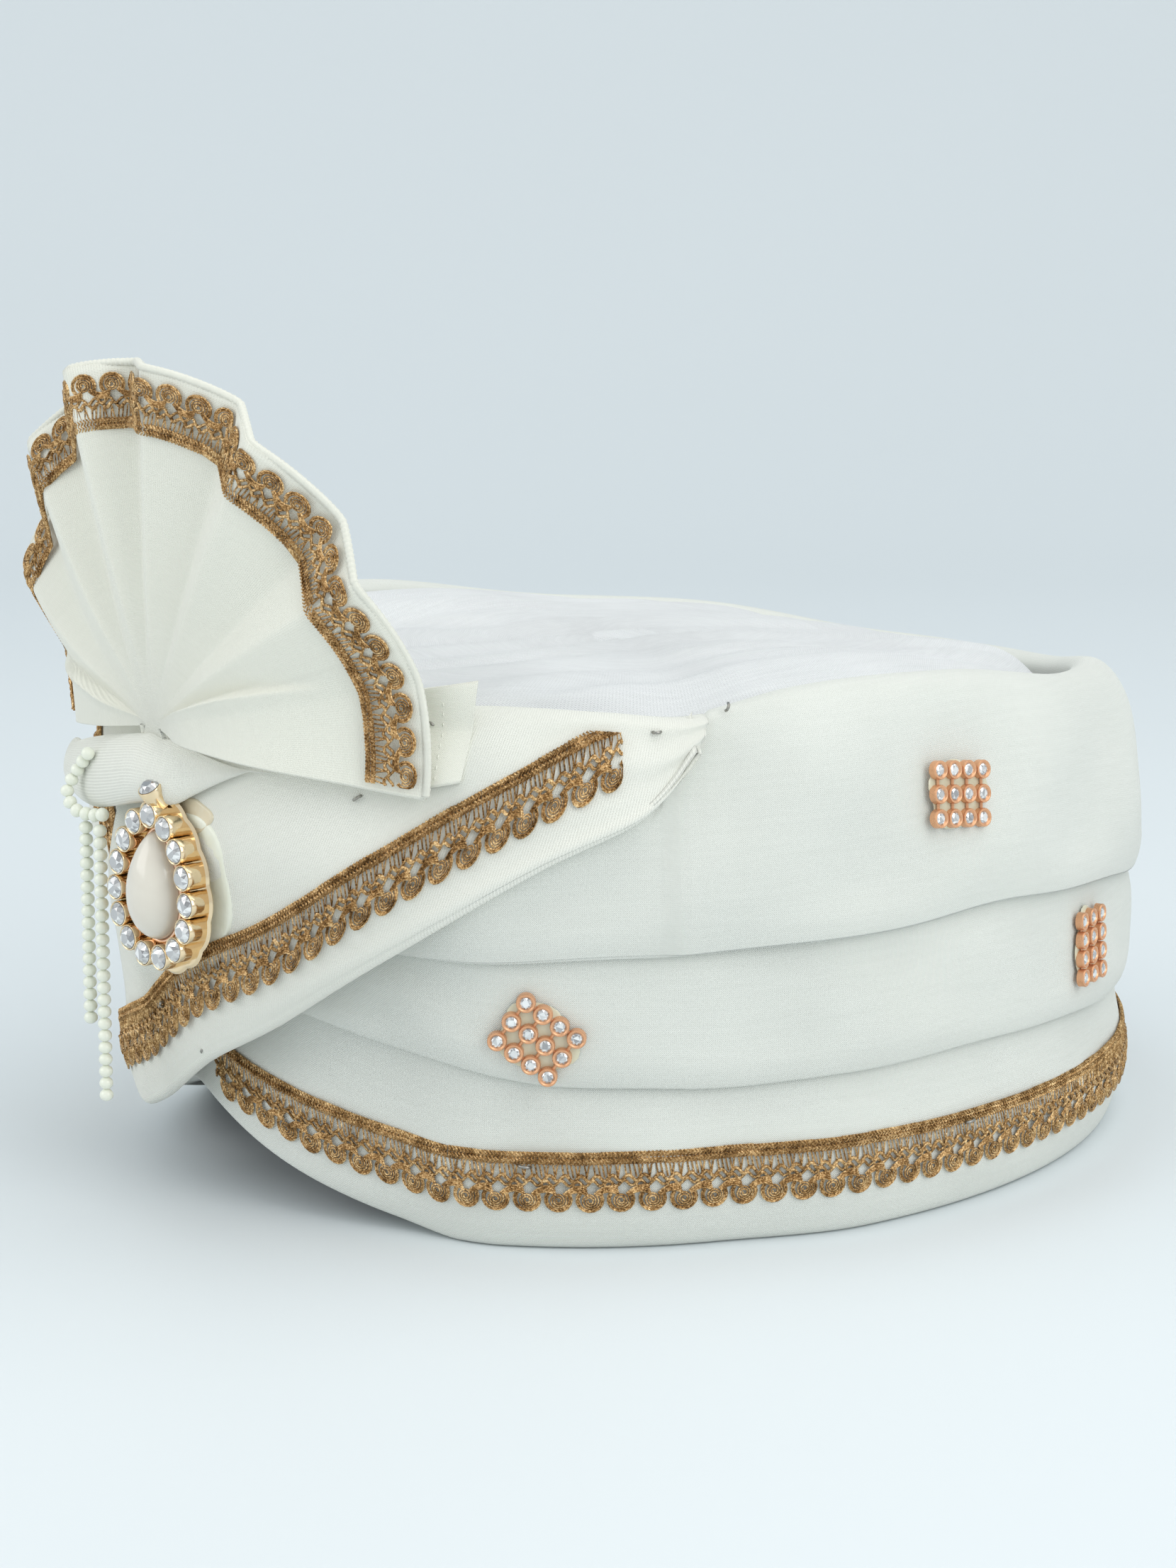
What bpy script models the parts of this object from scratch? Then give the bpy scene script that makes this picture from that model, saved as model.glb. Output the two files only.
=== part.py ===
"""A pleated groom's turban of off-white cloth with gold lace, a half-round fan and a pearl brooch.

It stands on its hem at Z = 0, its front towards -Y and the wearer's left towards +X. Lengths are in
metres. An angle on the body is in degrees, from the front towards the wearer's left. A depth is
measured inwards from the outermost layer of cloth, and a negative depth stands proud of it.
"""

from math import cos, degrees, exp, hypot, pi, radians, sin

import bmesh
import bpy
import numpy as np
from mathutils import Matrix, Vector

# Body
HALF_WIDTH = 0.108
HALF_LENGTH = 0.130
RIM_HEIGHT = 0.115
FRONT_LEAN = 0.0075
LEAN_HEIGHT = 0.085
ARCH_HEIGHT = 0.0245
ARCH_MIDDLE = -16
ARCH_ANGLE = 48
ARCH_ROUND = 4
ARCH_CURVE = 1.25
COLUMNS = 36

# Cloth
CLOTH = 0.0024
CLEAR = 0.0008
GAP = 0.0003
OVERLAP = 0.009
RIM_ROLL = 0.011
HEM_TURN = 0.009
MIDDLE_INSET = 0.0008
LOWER_INSET = 0.0012
CROWN_CLOTH = 0.0012
CROWN_DROP = 0.012
CROWN_TUCK = 0.003
CAP_WALL = 0.012
CAP_CROWN = 0.004
CAP_DROP = 0.0145

# Front wraps
WRAP_SEAT = 0.0042
WRAP_UNDER = 0.0046
WRAP_LOWER_RIM = 0.0060
WRAP_ROLL = 0.008
WRAP_CROSS = -28
WRAP_HIDDEN = -1
WRAP_TIP_RISE = 0.0095
WRAP_HIDDEN_RISE = 0.006
WRAP_END = 60
WRAP_OVER = 0.0044

# Lace
LACE = 0.0011
LACE_WIDTH = 0.0125
HEM_LACE_HEIGHT = 0.009
HEM_LACE_RISE = 0.75
FRONT_LACE_HEIGHT = 0.009
FRONT_LACE_START = -26
FRONT_LACE_END = 51
FRONT_LACE_HIDDEN = 17.4

# Knot
KNOT_TOP = 0.0995
KNOT_TALL = 0.0145
KNOT_PROUD = 0.0080
KNOT_ANGLE = -9
KNOT_HALF_ANGLE = 23
KNOT_PINCH = 0.86
KNOT_PINCH_ANGLE = 9
KNOT_TAPER_START = 3
KNOT_TAPER_END = 13
KNOT_TAPER_LEFT = 0.14

# Fan
FAN_FOOT_IN = 0.0010
FAN_FOOT = Vector((-0.0077, FAN_FOOT_IN - HALF_LENGTH, 0.1052))
FAN_RADIUS = 0.078
FAN_START = 0.0025
FAN_STEM = 0.0045
FAN_CLOTH = 0.0012
FAN_TURN = -4.4
FAN_LACE_IN = 0.0143
FAN_LACE_OUT = 0.0018
FAN_LACE_PROUD = 0.0021
FAN_BEND = 0.092
FAN_END_WIDTH = 6
FAN_END_HEIGHT = 0.021
FAN_END_ANGLE = 33.5
FAN_END_PROUD = 0.0016
FAN_END_DOWN = 0.70

# Brooch
BROOCH_X = -0.0019
BROOCH_Z = 0.0731
BROOCH_HALF_WIDTH = 0.0140
BROOCH_HALF_HEIGHT = 0.0149
BROOCH_TAPER = 0.30
BROOCH_STONES = 15
CUP_RADIUS = 0.0027
CUP_HEIGHT = 0.0044
PLATE = 0.0014
PLATE_EDGE = 0.0010
STONE_RADIUS = 0.0024
STONE_HEIGHT = 0.0016
TIP_RISE = 0.0043
TIP_TILT = 55
PEARL_HALF_WIDTH = 0.0076
PEARL_HALF_HEIGHT = 0.0112
PEARL_BULGE = 0.0062

# Pearl strings
BEAD_RADIUS = 0.0015
STRAND_PROUD = 0.0035
STRAND_Y = -HALF_LENGTH - STRAND_PROUD
SHORT_STRAND = (-0.0250, 0.0395)
LONG_STRAND = (-0.0200, 0.0235)
STRAND_TOP = 0.0832
# The swag's route over the front, chosen by hand: x, depth in front of the strands, z.
SWAG = (
    (-0.0240, -0.0010, 0.0985),
    (-0.0285, -0.0006, 0.0935),
    (-0.0300, 0.0010, 0.0890),
    (-0.0270, 0.0010, 0.0855),
    (-0.0215, 0.0000, 0.0850),
    (-0.0178, 0.0000, 0.0858),
)

# Stone patches
PATCH_COLUMNS = 4
PATCH_ROWS = 3
PATCH_PITCH = 0.0042
PATCH_ROW_PITCH = 0.0050
PATCH_CUP = 0.0020
PATCH_CUP_HEIGHT = 0.0015
PATCH_CROWN = 0.0007
PATCH_PLATE = 0.0006

MERGE = 1e-6

# The outside wall from hem to rim: height as a share of the rim's, ring as a share of the widest.
WALL_SECTIONS = np.array(
    [
        (0.00, 0.955),
        (0.07, 0.978),
        (0.17, 0.985),
        (0.35, 0.987),
        (0.56, 1.000),
        (0.74, 0.993),
        (0.87, 0.970),
        (0.95, 0.946),
        (1.00, 0.925),
    ],
    dtype=[("height", float), ("ring", float)],
)

# Edges round the body, the same on both sides, as shares of RIM_HEIGHT: the rim, and the lower
# edges of the top and middle bands.
EDGES = np.array(
    [
        (0, 0.965, 0.535, 0.435),
        (20, 0.972, 0.535, 0.370),
        (38, 0.985, 0.540, 0.322),
        (50, 0.972, 0.543, 0.302),
        (58, 0.960, 0.546, 0.296),
        (70, 0.998, 0.553, 0.298),
        (90, 0.998, 0.572, 0.310),
        (115, 0.935, 0.540, 0.290),
        (140, 0.905, 0.505, 0.272),
        (160, 0.860, 0.490, 0.262),
        (180, 0.850, 0.485, 0.260),
    ],
    dtype=[("angle", float), ("rim", float), ("top_edge", float), ("middle_edge", float)],
)

# The lower edge of a front wrap on its own side of the front: height as a share of RIM_HEIGHT.
WRAP_EDGE = np.array(
    [
        (-28, 0.091),
        (-20, 0.136),
        (-13, 0.176),
        (0, 0.298),
        (14, 0.405),
        (27, 0.545),
        (43, 0.708),
        (52, 0.785),
        (60, 0.872),
    ],
    dtype=[("angle", float), ("height", float)],
)

# A wrap from its rolled lower edge to the rim: up as a share of its height, depth of WRAP_ROLL.
WRAP_SECTIONS = np.array(
    [
        (0.000, 0.130),
        (0.035, -0.030),
        (0.100, -0.100),
        (0.220, 0.000),
        (0.500, 0.000),
        (0.780, 0.000),
        (0.940, 0.080),
        (1.000, 0.400),
        (0.990, 0.750),
    ],
    dtype=[("up", float), ("depth", float)],
)

# The top band: up as a share of its height, where it folds over the rim and where it lies flat
# under a wrap, with the fold's depth as a share of RIM_ROLL.
TOP_SECTIONS = np.array(
    [
        (0.00, 0.00, 0.020),
        (0.05, 0.06, 0.000),
        (0.55, 0.45, 0.000),
        (0.93, 0.75, 0.060),
        (1.00, 0.86, 0.460),
        (0.95, 0.94, 0.900),
        (0.84, 1.00, 1.000),
    ],
    dtype=[("up", float), ("flat_up", float), ("fold", float)],
)

# The middle band: up as a share of its shown height, then of OVERLAP past 1, and how far it has
# sunk behind the band above.
MIDDLE_SECTIONS = np.array(
    [(0.00, 0.10), (0.08, 0.00), (0.46, 0.30), (0.92, 1.00), (2.00, 1.00)],
    dtype=[("up", float), ("sunk", float)],
)

# The lower band from its turned hem upwards: up, sunk as above, and the turn's share of HEM_TURN.
LOWER_SECTIONS = np.array(
    [
        (0.00, 0.00, 1.00),
        (0.00, 0.00, 0.26),
        (0.03, 0.00, 0.06),
        (0.10, 0.00, 0.00),
        (0.46, 0.10, 0.00),
        (0.92, 1.00, 0.00),
        (2.00, 1.00, 0.00),
    ],
    dtype=[("up", float), ("sunk", float), ("turn", float)],
)

# The crown from its tucked edge to the middle: reach as a share of the ring inside the rim, tuck
# of CROWN_TUCK, rise of CROWN_DROP above the rim.
CROWN_SECTIONS = np.array(
    [
        (1.00, 1.0, -0.97),
        (1.00, 0.0, -0.90),
        (0.955, 0.0, -0.35),
        (0.84, 0.0, 0.16),
        (0.55, 0.0, 0.30),
        (0.00, 0.0, 0.28),
    ],
    dtype=[("reach", float), ("tuck", float), ("rise", float)],
)

# The fan's folds on one side of its middle: angle in degrees, reach as a share of FAN_RADIUS, tilt
# forwards in degrees, and how far it bends back round the body, 1 for a radius of FAN_BEND.
FAN_FOLDS = np.array(
    [
        (0.0, 0.955, -1.3, 0.65),
        (10.7, 0.966, 5.1, 0.65),
        (27.2, 0.949, -0.7, 0.65),
        (36.0, 0.926, 5.1, 0.65),
        (53.4, 0.921, 0.0, 0.65),
        (63.5, 0.892, 5.5, 0.71),
        (79.9, 0.905, -1.5, 0.76),
        (97.0, 0.900, -0.5, 0.86),
    ],
    dtype=[("angle", float), ("reach", float), ("tilt", float), ("curve", float)],
)
FAN_RADII = (0.0, 0.12, 0.42, 1.0)

# The patches on the left side: angle, height as a share of RIM_HEIGHT, roll in degrees, band.
PATCHES = (
    ("front", 42.5, 0.402, -36, "middle"),
    ("side", 86.5, 0.792, -6, "top"),
    ("back", 110.5, 0.428, 90, "middle"),
)


def mix(start, end, share):
    return start + (end - start) * share


def fade(value, start, end):
    """0 at start and 1 at end, with a smooth change between them."""
    share = min(max((value - start) / (end - start), 0), 1)
    return share * share * (3 - 2 * share)


def read(table, along, column, at):
    """The column's value at a place along the table, on one smooth curve through its rows."""
    x, y = table[along], table[column]
    slope = np.gradient(y, x)
    i = min(max(int(np.searchsorted(x, at, side="right")) - 1, 0), len(x) - 2)
    width = x[i + 1] - x[i]
    t = min(max((at - x[i]) / width, 0), 1)
    near = (1 + 2 * t) * (1 - t) ** 2 * y[i] + t * (1 - t) ** 2 * width * slope[i]
    far = t * t * (3 - 2 * t) * y[i + 1] + t * t * (t - 1) * width * slope[i + 1]
    return near + far


def from_front(angle):
    """Degrees from the front, from 0 to 180, whichever side the angle is on."""
    return abs((angle + 180) % 360 - 180)


def edge(name, angle):
    return RIM_HEIGHT * read(EDGES, "angle", name, from_front(angle))


def rim(angle):
    return edge("rim", angle)


def arch(angle):
    """How far the hem rises at the front, a little to the right of the middle."""
    away = from_front(angle - ARCH_MIDDLE)
    return ARCH_HEIGHT * max(1 - hypot(away, ARCH_ROUND) / ARCH_ANGLE, 0) ** ARCH_CURVE


def wall(angle, height, depth):
    """The point at this angle and height on the body, at a depth below the outermost cloth."""
    share = min(max(height / rim(angle), 0), 1)
    ring = read(WALL_SECTIONS, "height", "ring", share)
    lean = FRONT_LEAN * fade(from_front(angle), 66, 12) * fade(height, LEAN_HEIGHT, 0.2 * LEAN_HEIGHT)
    inwards = depth + lean
    turn = radians(angle)
    return Vector(
        (
            (HALF_WIDTH * ring - inwards) * sin(turn),
            -(HALF_LENGTH * ring - inwards) * cos(turn),
            height,
        )
    )


def seat(angle):
    """The extra depth of the bands and the cap where one wrap, and at the front two, lie on them."""
    away = from_front(angle)
    return WRAP_SEAT * fade(away, 78, 61) + WRAP_UNDER * under_left(away)


def under_left(angle):
    """How far the right wrap has sunk beneath the left one, at this angle from the front."""
    return fade(angle, 38, 23)


def wrap_edge(angle):
    return RIM_HEIGHT * read(WRAP_EDGE, "angle", "height", angle)


def material(name, colour, roughness, metallic=0.0):
    made = bpy.data.materials.new(name)
    made.use_nodes = True
    shader = made.node_tree.nodes["Principled BSDF"]
    shader.inputs["Base Color"].default_value = (*colour, 1)
    shader.inputs["Roughness"].default_value = roughness
    shader.inputs["Metallic"].default_value = metallic
    return made


def add_object(name, data, finish, collection):
    made = bpy.data.objects.new(name, data)
    data.materials.append(finish)
    collection.objects.link(made)
    return made


def shade_round(mesh, angle=40):
    mesh.shade_smooth()
    mesh.set_sharp_from_angle(angle=radians(angle))


def sheet_mesh(name, columns, rows, place):
    """A grid laid out by place(across, row), where across runs from 0 to 1 and row counts up."""
    grid = bmesh.new()
    bmesh.ops.create_grid(grid, x_segments=columns, y_segments=rows, size=0.5)
    for point in grid.verts:
        across = round((point.co.x + 0.5) * columns) / columns
        row = round((point.co.y + 0.5) * rows)
        point.co = place(across, row)
    bmesh.ops.remove_doubles(grid, verts=grid.verts, dist=MERGE)
    mesh = bpy.data.meshes.new(name)
    grid.to_mesh(mesh)
    grid.free()
    shade_round(mesh)
    return mesh


def cloth(name, columns, rows, place, thickness, finish, collection):
    """A sheet with its shown face at place(across, row), thickened towards its hidden face."""
    made = add_object(name, sheet_mesh(name, columns, rows, place), finish, collection)
    wall_of = made.modifiers.new("Thickness", "SOLIDIFY")
    wall_of.thickness = thickness
    wall_of.offset = -1
    wall_of.use_even_offset = True
    wall_of.use_quality_normals = True
    return made


def turned(name, profile, sides, finish, collection):
    """A profile of (radius, height) points, from the top's middle down to the foot's, turned round Z."""
    mesh = bpy.data.meshes.new(name)
    points = [(radius, 0, height) for radius, height in profile]
    mesh.from_pydata(points, [(i, i + 1) for i in range(len(points) - 1)], [])
    made = add_object(name, mesh, finish, collection)
    screw = made.modifiers.new("Turn", "SCREW")
    screw.steps = sides
    screw.render_steps = sides
    screw.use_merge_vertices = True
    screw.merge_threshold = MERGE
    return made


def evaluated_mesh(made):
    """The object's mesh with its modifiers applied."""
    bpy.context.view_layer.update()
    graph = bpy.context.evaluated_depsgraph_get()
    return bpy.data.meshes.new_from_object(made.evaluated_get(graph))


def column_angle(across, skipped):
    """The angle of a column, on a band that leaves out this many columns on each side of the front."""
    return 360 * mix(skipped, COLUMNS - skipped, across) / COLUMNS


def band_height(lower, upper, up, overlap=OVERLAP):
    """The height on a band from its lower edge to the next band's at 1, and overlap more at 2."""
    return mix(lower, upper, min(up, 1)) + overlap * max(up - 1, 0)


def middle_depth(angle, height):
    lower = edge("middle_edge", angle)
    share = (height - lower) / (edge("top_edge", angle) - lower)
    sunk = read(MIDDLE_SECTIONS, "up", "sunk", share)
    return seat(angle) + mix(MIDDLE_INSET, CLOTH + CLEAR, sunk)


def lower_depth(angle, sunk):
    return seat(angle) + mix(LOWER_INSET, MIDDLE_INSET + CLOTH + CLEAR, sunk)


def cap_depth(angle):
    """The depth of the cap's outside, behind all three bands."""
    return seat(angle) + MIDDLE_INSET + 2 * (CLOTH + CLEAR) + 2 * GAP


def lower_band(finish, collection):
    def place(across, row):
        angle = 360 * across
        section = LOWER_SECTIONS[row]
        above = edge("middle_edge", angle)
        overlap = min(OVERLAP, 0.42 * (edge("top_edge", angle) - above))
        height = band_height(arch(angle), above, section["up"], overlap)
        return wall(angle, height, lower_depth(angle, section["sunk"]) + HEM_TURN * section["turn"])

    cloth("lower_band", COLUMNS, len(LOWER_SECTIONS) - 1, place, CLOTH, finish, collection)


def middle_band(finish, collection):
    skipped = 1

    def place(across, row):
        angle = column_angle(across, skipped)
        section = MIDDLE_SECTIONS[row]
        height = band_height(edge("middle_edge", angle), edge("top_edge", angle), section["up"])
        return wall(angle, height, middle_depth(angle, height))

    columns = COLUMNS - 2 * skipped
    cloth("middle_band", columns, len(MIDDLE_SECTIONS) - 1, place, CLOTH, finish, collection)


def top_band(finish, collection):
    skipped = 2

    def place(across, row):
        angle = column_angle(across, skipped)
        section = TOP_SECTIONS[row]
        away = from_front(angle)
        folded = fade(away, WRAP_END - 16, WRAP_END - 8)
        under_wrap = min(wrap_edge(away) + OVERLAP, rim(angle) - CAP_DROP)
        top = rim(angle) - WRAP_OVER * fade(away, WRAP_END + 4, WRAP_END)
        lower = edge("top_edge", angle)
        upper = mix(under_wrap, top, folded)
        height = mix(lower, upper, mix(section["flat_up"], section["up"], folded))
        fold = section["fold"] * (folded if row > 1 else 1)
        return wall(angle, height, mix(seat(angle), RIM_ROLL, fold))

    columns = COLUMNS - 2 * skipped
    cloth("top_band", columns, len(TOP_SECTIONS) - 1, place, CLOTH, finish, collection)


def crown_point(angle, section, lower=0.0):
    """A point of the crown's outside, or of a layer lower and further in by that much."""
    middle = RIM_HEIGHT * EDGES["rim"].mean()
    level = mix(middle, rim(angle), section["reach"] ** 1.5)
    height = level + CROWN_DROP * section["rise"] - lower
    tucked = lower + RIM_ROLL + CLEAR + GAP - CROWN_TUCK * section["tuck"]
    ring = wall(angle, rim(angle), tucked)
    return Vector((ring.x * section["reach"], ring.y * section["reach"], height))


def crown_cloth(finish, collection):
    def place(across, row):
        return crown_point(360 * across, CROWN_SECTIONS[row])

    cloth("crown_cloth", COLUMNS, len(CROWN_SECTIONS) - 1, place, CROWN_CLOTH, finish, collection)


def inner_cap(finish, collection):
    """The padded cap: down its inside, round its foot, up its outside and over the crown."""
    inside = CROWN_SECTIONS[:0:-1]
    outside = CROWN_SECTIONS[1:]
    walls = ((1, 0.92), (1, 0.0), (0, 0.0), (0, 0.22), (0, 0.50), (0, 0.97))
    rows = len(inside) - 3 + len(walls) + len(outside)

    def place(across, row):
        angle = 360 * across
        under = CROWN_CLOTH + CLEAR
        if row < len(inside) - 3:
            return crown_point(angle, inside[row], under + CAP_CROWN)
        row -= len(inside) - 3
        if row < len(walls):
            inner, up = walls[row]
            steep = 1 + 0.6 * fade(from_front(angle), ARCH_ANGLE, ARCH_ANGLE / 2)
            foot = arch(angle) + steep * (CLOTH + CLEAR)
            height = mix(foot, rim(angle) - CAP_DROP, up)
            return wall(angle, height, cap_depth(angle) + CAP_WALL * inner)
        return crown_point(angle, outside[row - len(walls)], under)

    mesh = sheet_mesh("inner_cap", COLUMNS, rows - 1, place)
    add_object("inner_cap", mesh, finish, collection)


def wrap_low(side, angle):
    """The height of a wrap's lower edge: the left one rounds up to its tip.

    The right one's hidden end is raised, so that it stays behind the left one.
    """
    if side == "left":
        return wrap_edge(angle) + WRAP_TIP_RISE * fade(angle, WRAP_CROSS + 10, WRAP_CROSS) ** 1.5
    return wrap_edge(angle) + WRAP_HIDDEN_RISE * fade(angle, WRAP_HIDDEN + 7, WRAP_HIDDEN)


def front_wrap(side, finish, collection):
    """One front wrap, from where the two cross to the end of its edge at the rim."""
    left = side == "left"
    start = WRAP_CROSS if left else WRAP_HIDDEN
    top_start = -9 if left else -4

    def place(across, row):
        share = across if left else 1 - across
        section = WRAP_SECTIONS[row]
        low_angle = mix(start, WRAP_END - 1.5, share)
        angle = mix(low_angle, mix(top_start, WRAP_END, share), min(section["up"], 1))
        under = 0 if left else under_left(angle)
        height = mix(wrap_low(side, low_angle), rim(angle) - WRAP_LOWER_RIM * under, section["up"])
        depth = section["depth"] * (1 - under if section["depth"] < 0 else 1)
        point = wall(angle, height, WRAP_UNDER * under + WRAP_ROLL * depth)
        return point if left else Vector((-point.x, point.y, point.z))

    name = "front_wrap_" + side
    cloth(name, 20 if left else 13, len(WRAP_SECTIONS) - 1, place, CLOTH, finish, collection)


def hem_lace(finish, collection):
    def place(across, row):
        angle = column_angle(across, 0.5) - 540 / COLUMNS
        height = HEM_LACE_RISE * arch(angle) + HEM_LACE_HEIGHT + row * LACE_WIDTH
        share = (height - arch(angle)) / (edge("middle_edge", angle) - arch(angle))
        sunk = read(LOWER_SECTIONS[3:], "up", "sunk", share)
        return wall(angle, height, lower_depth(angle, sunk) - LACE - CLEAR)

    cloth("hem_lace", COLUMNS - 1, 1, place, LACE, finish, collection)


def front_lace(side, finish, collection):
    left = side == "left"
    start = FRONT_LACE_START if left else FRONT_LACE_HIDDEN
    slant = cos(radians(27))

    def place(across, row):
        share = across if left else 1 - across
        angle = mix(start, FRONT_LACE_END, share)
        height = wrap_edge(angle) + FRONT_LACE_HEIGHT + row * LACE_WIDTH / slant
        height = min(height, rim(angle) - (0.004 - 0.001 * row))
        under = 0 if left else under_left(angle)
        low = wrap_low(side, angle)
        share = (height - low) / (rim(angle) - low)
        bulge = WRAP_ROLL * min(read(WRAP_SECTIONS[:5], "up", "depth", share), 0) * (1 - under)
        point = wall(angle, height, (WRAP_UNDER + 2 * GAP) * under + bulge - LACE - CLEAR)
        return point if left else Vector((-point.x, point.y, point.z))

    cloth("front_lace_" + side, 16 if left else 12, 1, place, LACE, finish, collection)


def front_knot(finish, collection):
    """The gathered roll: a ball drawn out along the front, pinched above the brooch.

    Past the brooch it tapers to a low fold at its left end.
    """
    angle_of_brooch = degrees(BROOCH_X / HALF_WIDTH)
    ball = bmesh.new()
    bmesh.ops.create_uvsphere(ball, u_segments=12, v_segments=12, radius=1)
    for point in ball.verts:
        along, up, out = point.co.z, point.co.y, point.co.x
        angle = KNOT_ANGLE + KNOT_HALF_ANGLE * along
        pinch = 1 - KNOT_PINCH * exp(-(((angle - angle_of_brooch) / KNOT_PINCH_ANGLE) ** 2))
        taper = fade(angle, KNOT_TAPER_START, KNOT_TAPER_END)
        tall = KNOT_TALL * pinch * mix(1, KNOT_TAPER_LEFT, taper)
        proud = KNOT_PROUD * mix(1, 0.5, taper)
        point.co = wall(angle, KNOT_TOP - tall * (1 - up) / 2, -2 * GAP - proud * (1 + out) / 2)
    bmesh.ops.reverse_faces(ball, faces=ball.faces)
    mesh = bpy.data.meshes.new("front_knot")
    ball.to_mesh(mesh)
    ball.free()
    shade_round(mesh)
    add_object("front_knot", mesh, finish, collection)


def fan_point(across, share, proud=0.0):
    """A point of the fan: across from its right end to its left end, share of the way out."""
    spread = FAN_FOLDS["angle"][-1]
    place = (2 * across - 1) * (len(FAN_FOLDS) - 1)
    i = min(int(abs(place)), len(FAN_FOLDS) - 2)
    part = abs(place) - i
    angle, reach, tilt, curve = (
        mix(FAN_FOLDS[column][i], FAN_FOLDS[column][i + 1], part) for column in FAN_FOLDS.dtype.names
    )
    leaning = FAN_TURN * (1 - (angle / spread) ** 4)
    turn = radians(leaning + (angle if place > 0 else -angle))
    radius = mix(FAN_START, FAN_RADIUS * reach, share)
    lean = radians(tilt) * fade(radius, 0, FAN_RADIUS / 3)
    flat = radius * cos(lean)
    bend = FAN_BEND / curve
    turned_back = (FAN_FOOT.x + flat * sin(turn)) / bend
    forward = radius * sin(lean) + proud
    return Vector(
        (
            (bend + forward) * sin(turned_back),
            FAN_FOOT.y + bend - (bend + forward) * cos(turned_back),
            FAN_FOOT.z + flat * cos(turn),
        )
    )


def fan(finish, collection):
    """The fan, from its gathered stem on the knot to its outer edge."""
    columns = 2 * (len(FAN_FOLDS) - 1)

    def place(across, row):
        if row == 0:
            stem = FAN_FOOT.x + FAN_STEM * (2 * across - 1)
            return Vector((stem, FAN_FOOT.y + FAN_CLOTH, KNOT_TOP + GAP))
        return fan_point(across, FAN_RADII[row - 1])

    cloth("fan", columns, len(FAN_RADII), place, FAN_CLOTH, finish, collection)


def fan_lace(finish, collection):
    columns = 2 * (len(FAN_FOLDS) - 1)
    inner = 1 - FAN_LACE_IN / FAN_RADIUS
    outer = 1 - FAN_LACE_OUT / FAN_RADIUS

    def place(across, row):
        return fan_point(across, mix(inner, outer, row), FAN_LACE_PROUD)

    cloth("fan_lace", columns, 1, place, LACE, finish, collection)


def fan_end(side, finish, collection):
    """The end of the fan's cloth, folded back and standing against the wall beside the fan."""
    sign = 1 if side == "left" else -1

    def place(across, row):
        share = across if side == "left" else 1 - across
        angle = FAN_END_ANGLE + FAN_END_WIDTH * (share - 0.5)
        height = rim(angle) + FAN_END_HEIGHT * (row / 3 - FAN_END_DOWN)
        swell = 0.5 * FAN_END_PROUD * sin(pi * share)
        on_wall = wall(angle, min(height, 0.97 * rim(angle)), -FAN_END_PROUD - swell)
        return Vector((sign * on_wall.x, on_wall.y, height))

    cloth("fan_end_" + side, 4, 3, place, FAN_CLOTH, finish, collection)


def brooch_outline(turn, grow=0.0):
    """A point of the egg on which the cups' middles lie, grown outwards by that much."""
    narrow = 1 - BROOCH_TAPER * (1 + cos(turn)) / 2
    across = (BROOCH_HALF_WIDTH * narrow + grow) * sin(turn)
    return Vector((across, (BROOCH_HALF_HEIGHT + grow) * cos(turn)))


def even_turns(count):
    """Turns that space this many points evenly along the brooch's outline."""
    turns = np.linspace(0, 2 * pi, 361)
    points = np.array([brooch_outline(turn) for turn in turns])
    run = np.concatenate([[0], np.cumsum(np.linalg.norm(np.diff(points, axis=0), axis=1))])
    return np.interp(np.arange(count) / count * run[-1], run, turns)


def brooch_place():
    """The frame of the brooch: its X across, its Y up and its Z out of the front."""
    heights = [BROOCH_Z + BROOCH_HALF_HEIGHT * share for share in (-0.75, -0.35, 0, 0.4)]
    seat_y = min(wall(0, height, -GAP).y for height in heights)
    return Matrix.Translation((BROOCH_X, seat_y, BROOCH_Z)) @ Matrix.Rotation(pi / 2, 4, "X")


def tip_place():
    """The frame of the stone at the brooch's tip, tilted upwards."""
    out = Matrix.Translation((0, BROOCH_HALF_HEIGHT + TIP_RISE, PLATE + CUP_RADIUS * 0.6))
    return out @ Matrix.Rotation(-radians(TIP_TILT), 4, "X")


def plate_mesh():
    """The brooch's back plate, an extruded egg under the cups and the pearl."""
    flat = bmesh.new()
    ring = [
        flat.verts.new((*brooch_outline(turn, CUP_RADIUS + PLATE_EDGE), 0))
        for turn in np.linspace(0, 2 * pi, 25)[:-1]
    ]
    face = flat.faces.new(ring)
    raised = bmesh.ops.extrude_face_region(flat, geom=[face])["geom"]
    for point in raised:
        if isinstance(point, bmesh.types.BMVert):
            point.co.z += PLATE
    bmesh.ops.recalc_face_normals(flat, faces=flat.faces)
    mesh = bpy.data.meshes.new("brooch_setting")
    flat.to_mesh(mesh)
    flat.free()
    return mesh


def add_drum(mesh, place, radius, low, high, sides):
    """Adds a closed drum along Z, from low to high, in the frame given."""
    middle = place @ Matrix.Translation((0, 0, (low + high) / 2))
    bmesh.ops.create_cone(
        mesh,
        cap_ends=True,
        segments=sides,
        radius1=radius,
        radius2=radius,
        depth=high - low,
        matrix=middle,
    )


def helper(name, mesh_made, finish, cutters):
    mesh = bpy.data.meshes.new(name)
    mesh_made.to_mesh(mesh)
    mesh_made.free()
    made = add_object(name, mesh, finish, cutters)
    made.hide_render = True
    made.display_type = "WIRE"
    return made


def join_into(made, others):
    union = made.modifiers.new("Join", "BOOLEAN")
    union.operation = "UNION"
    union.solver = "EXACT"
    union.object = others
    union.use_self = True


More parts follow.
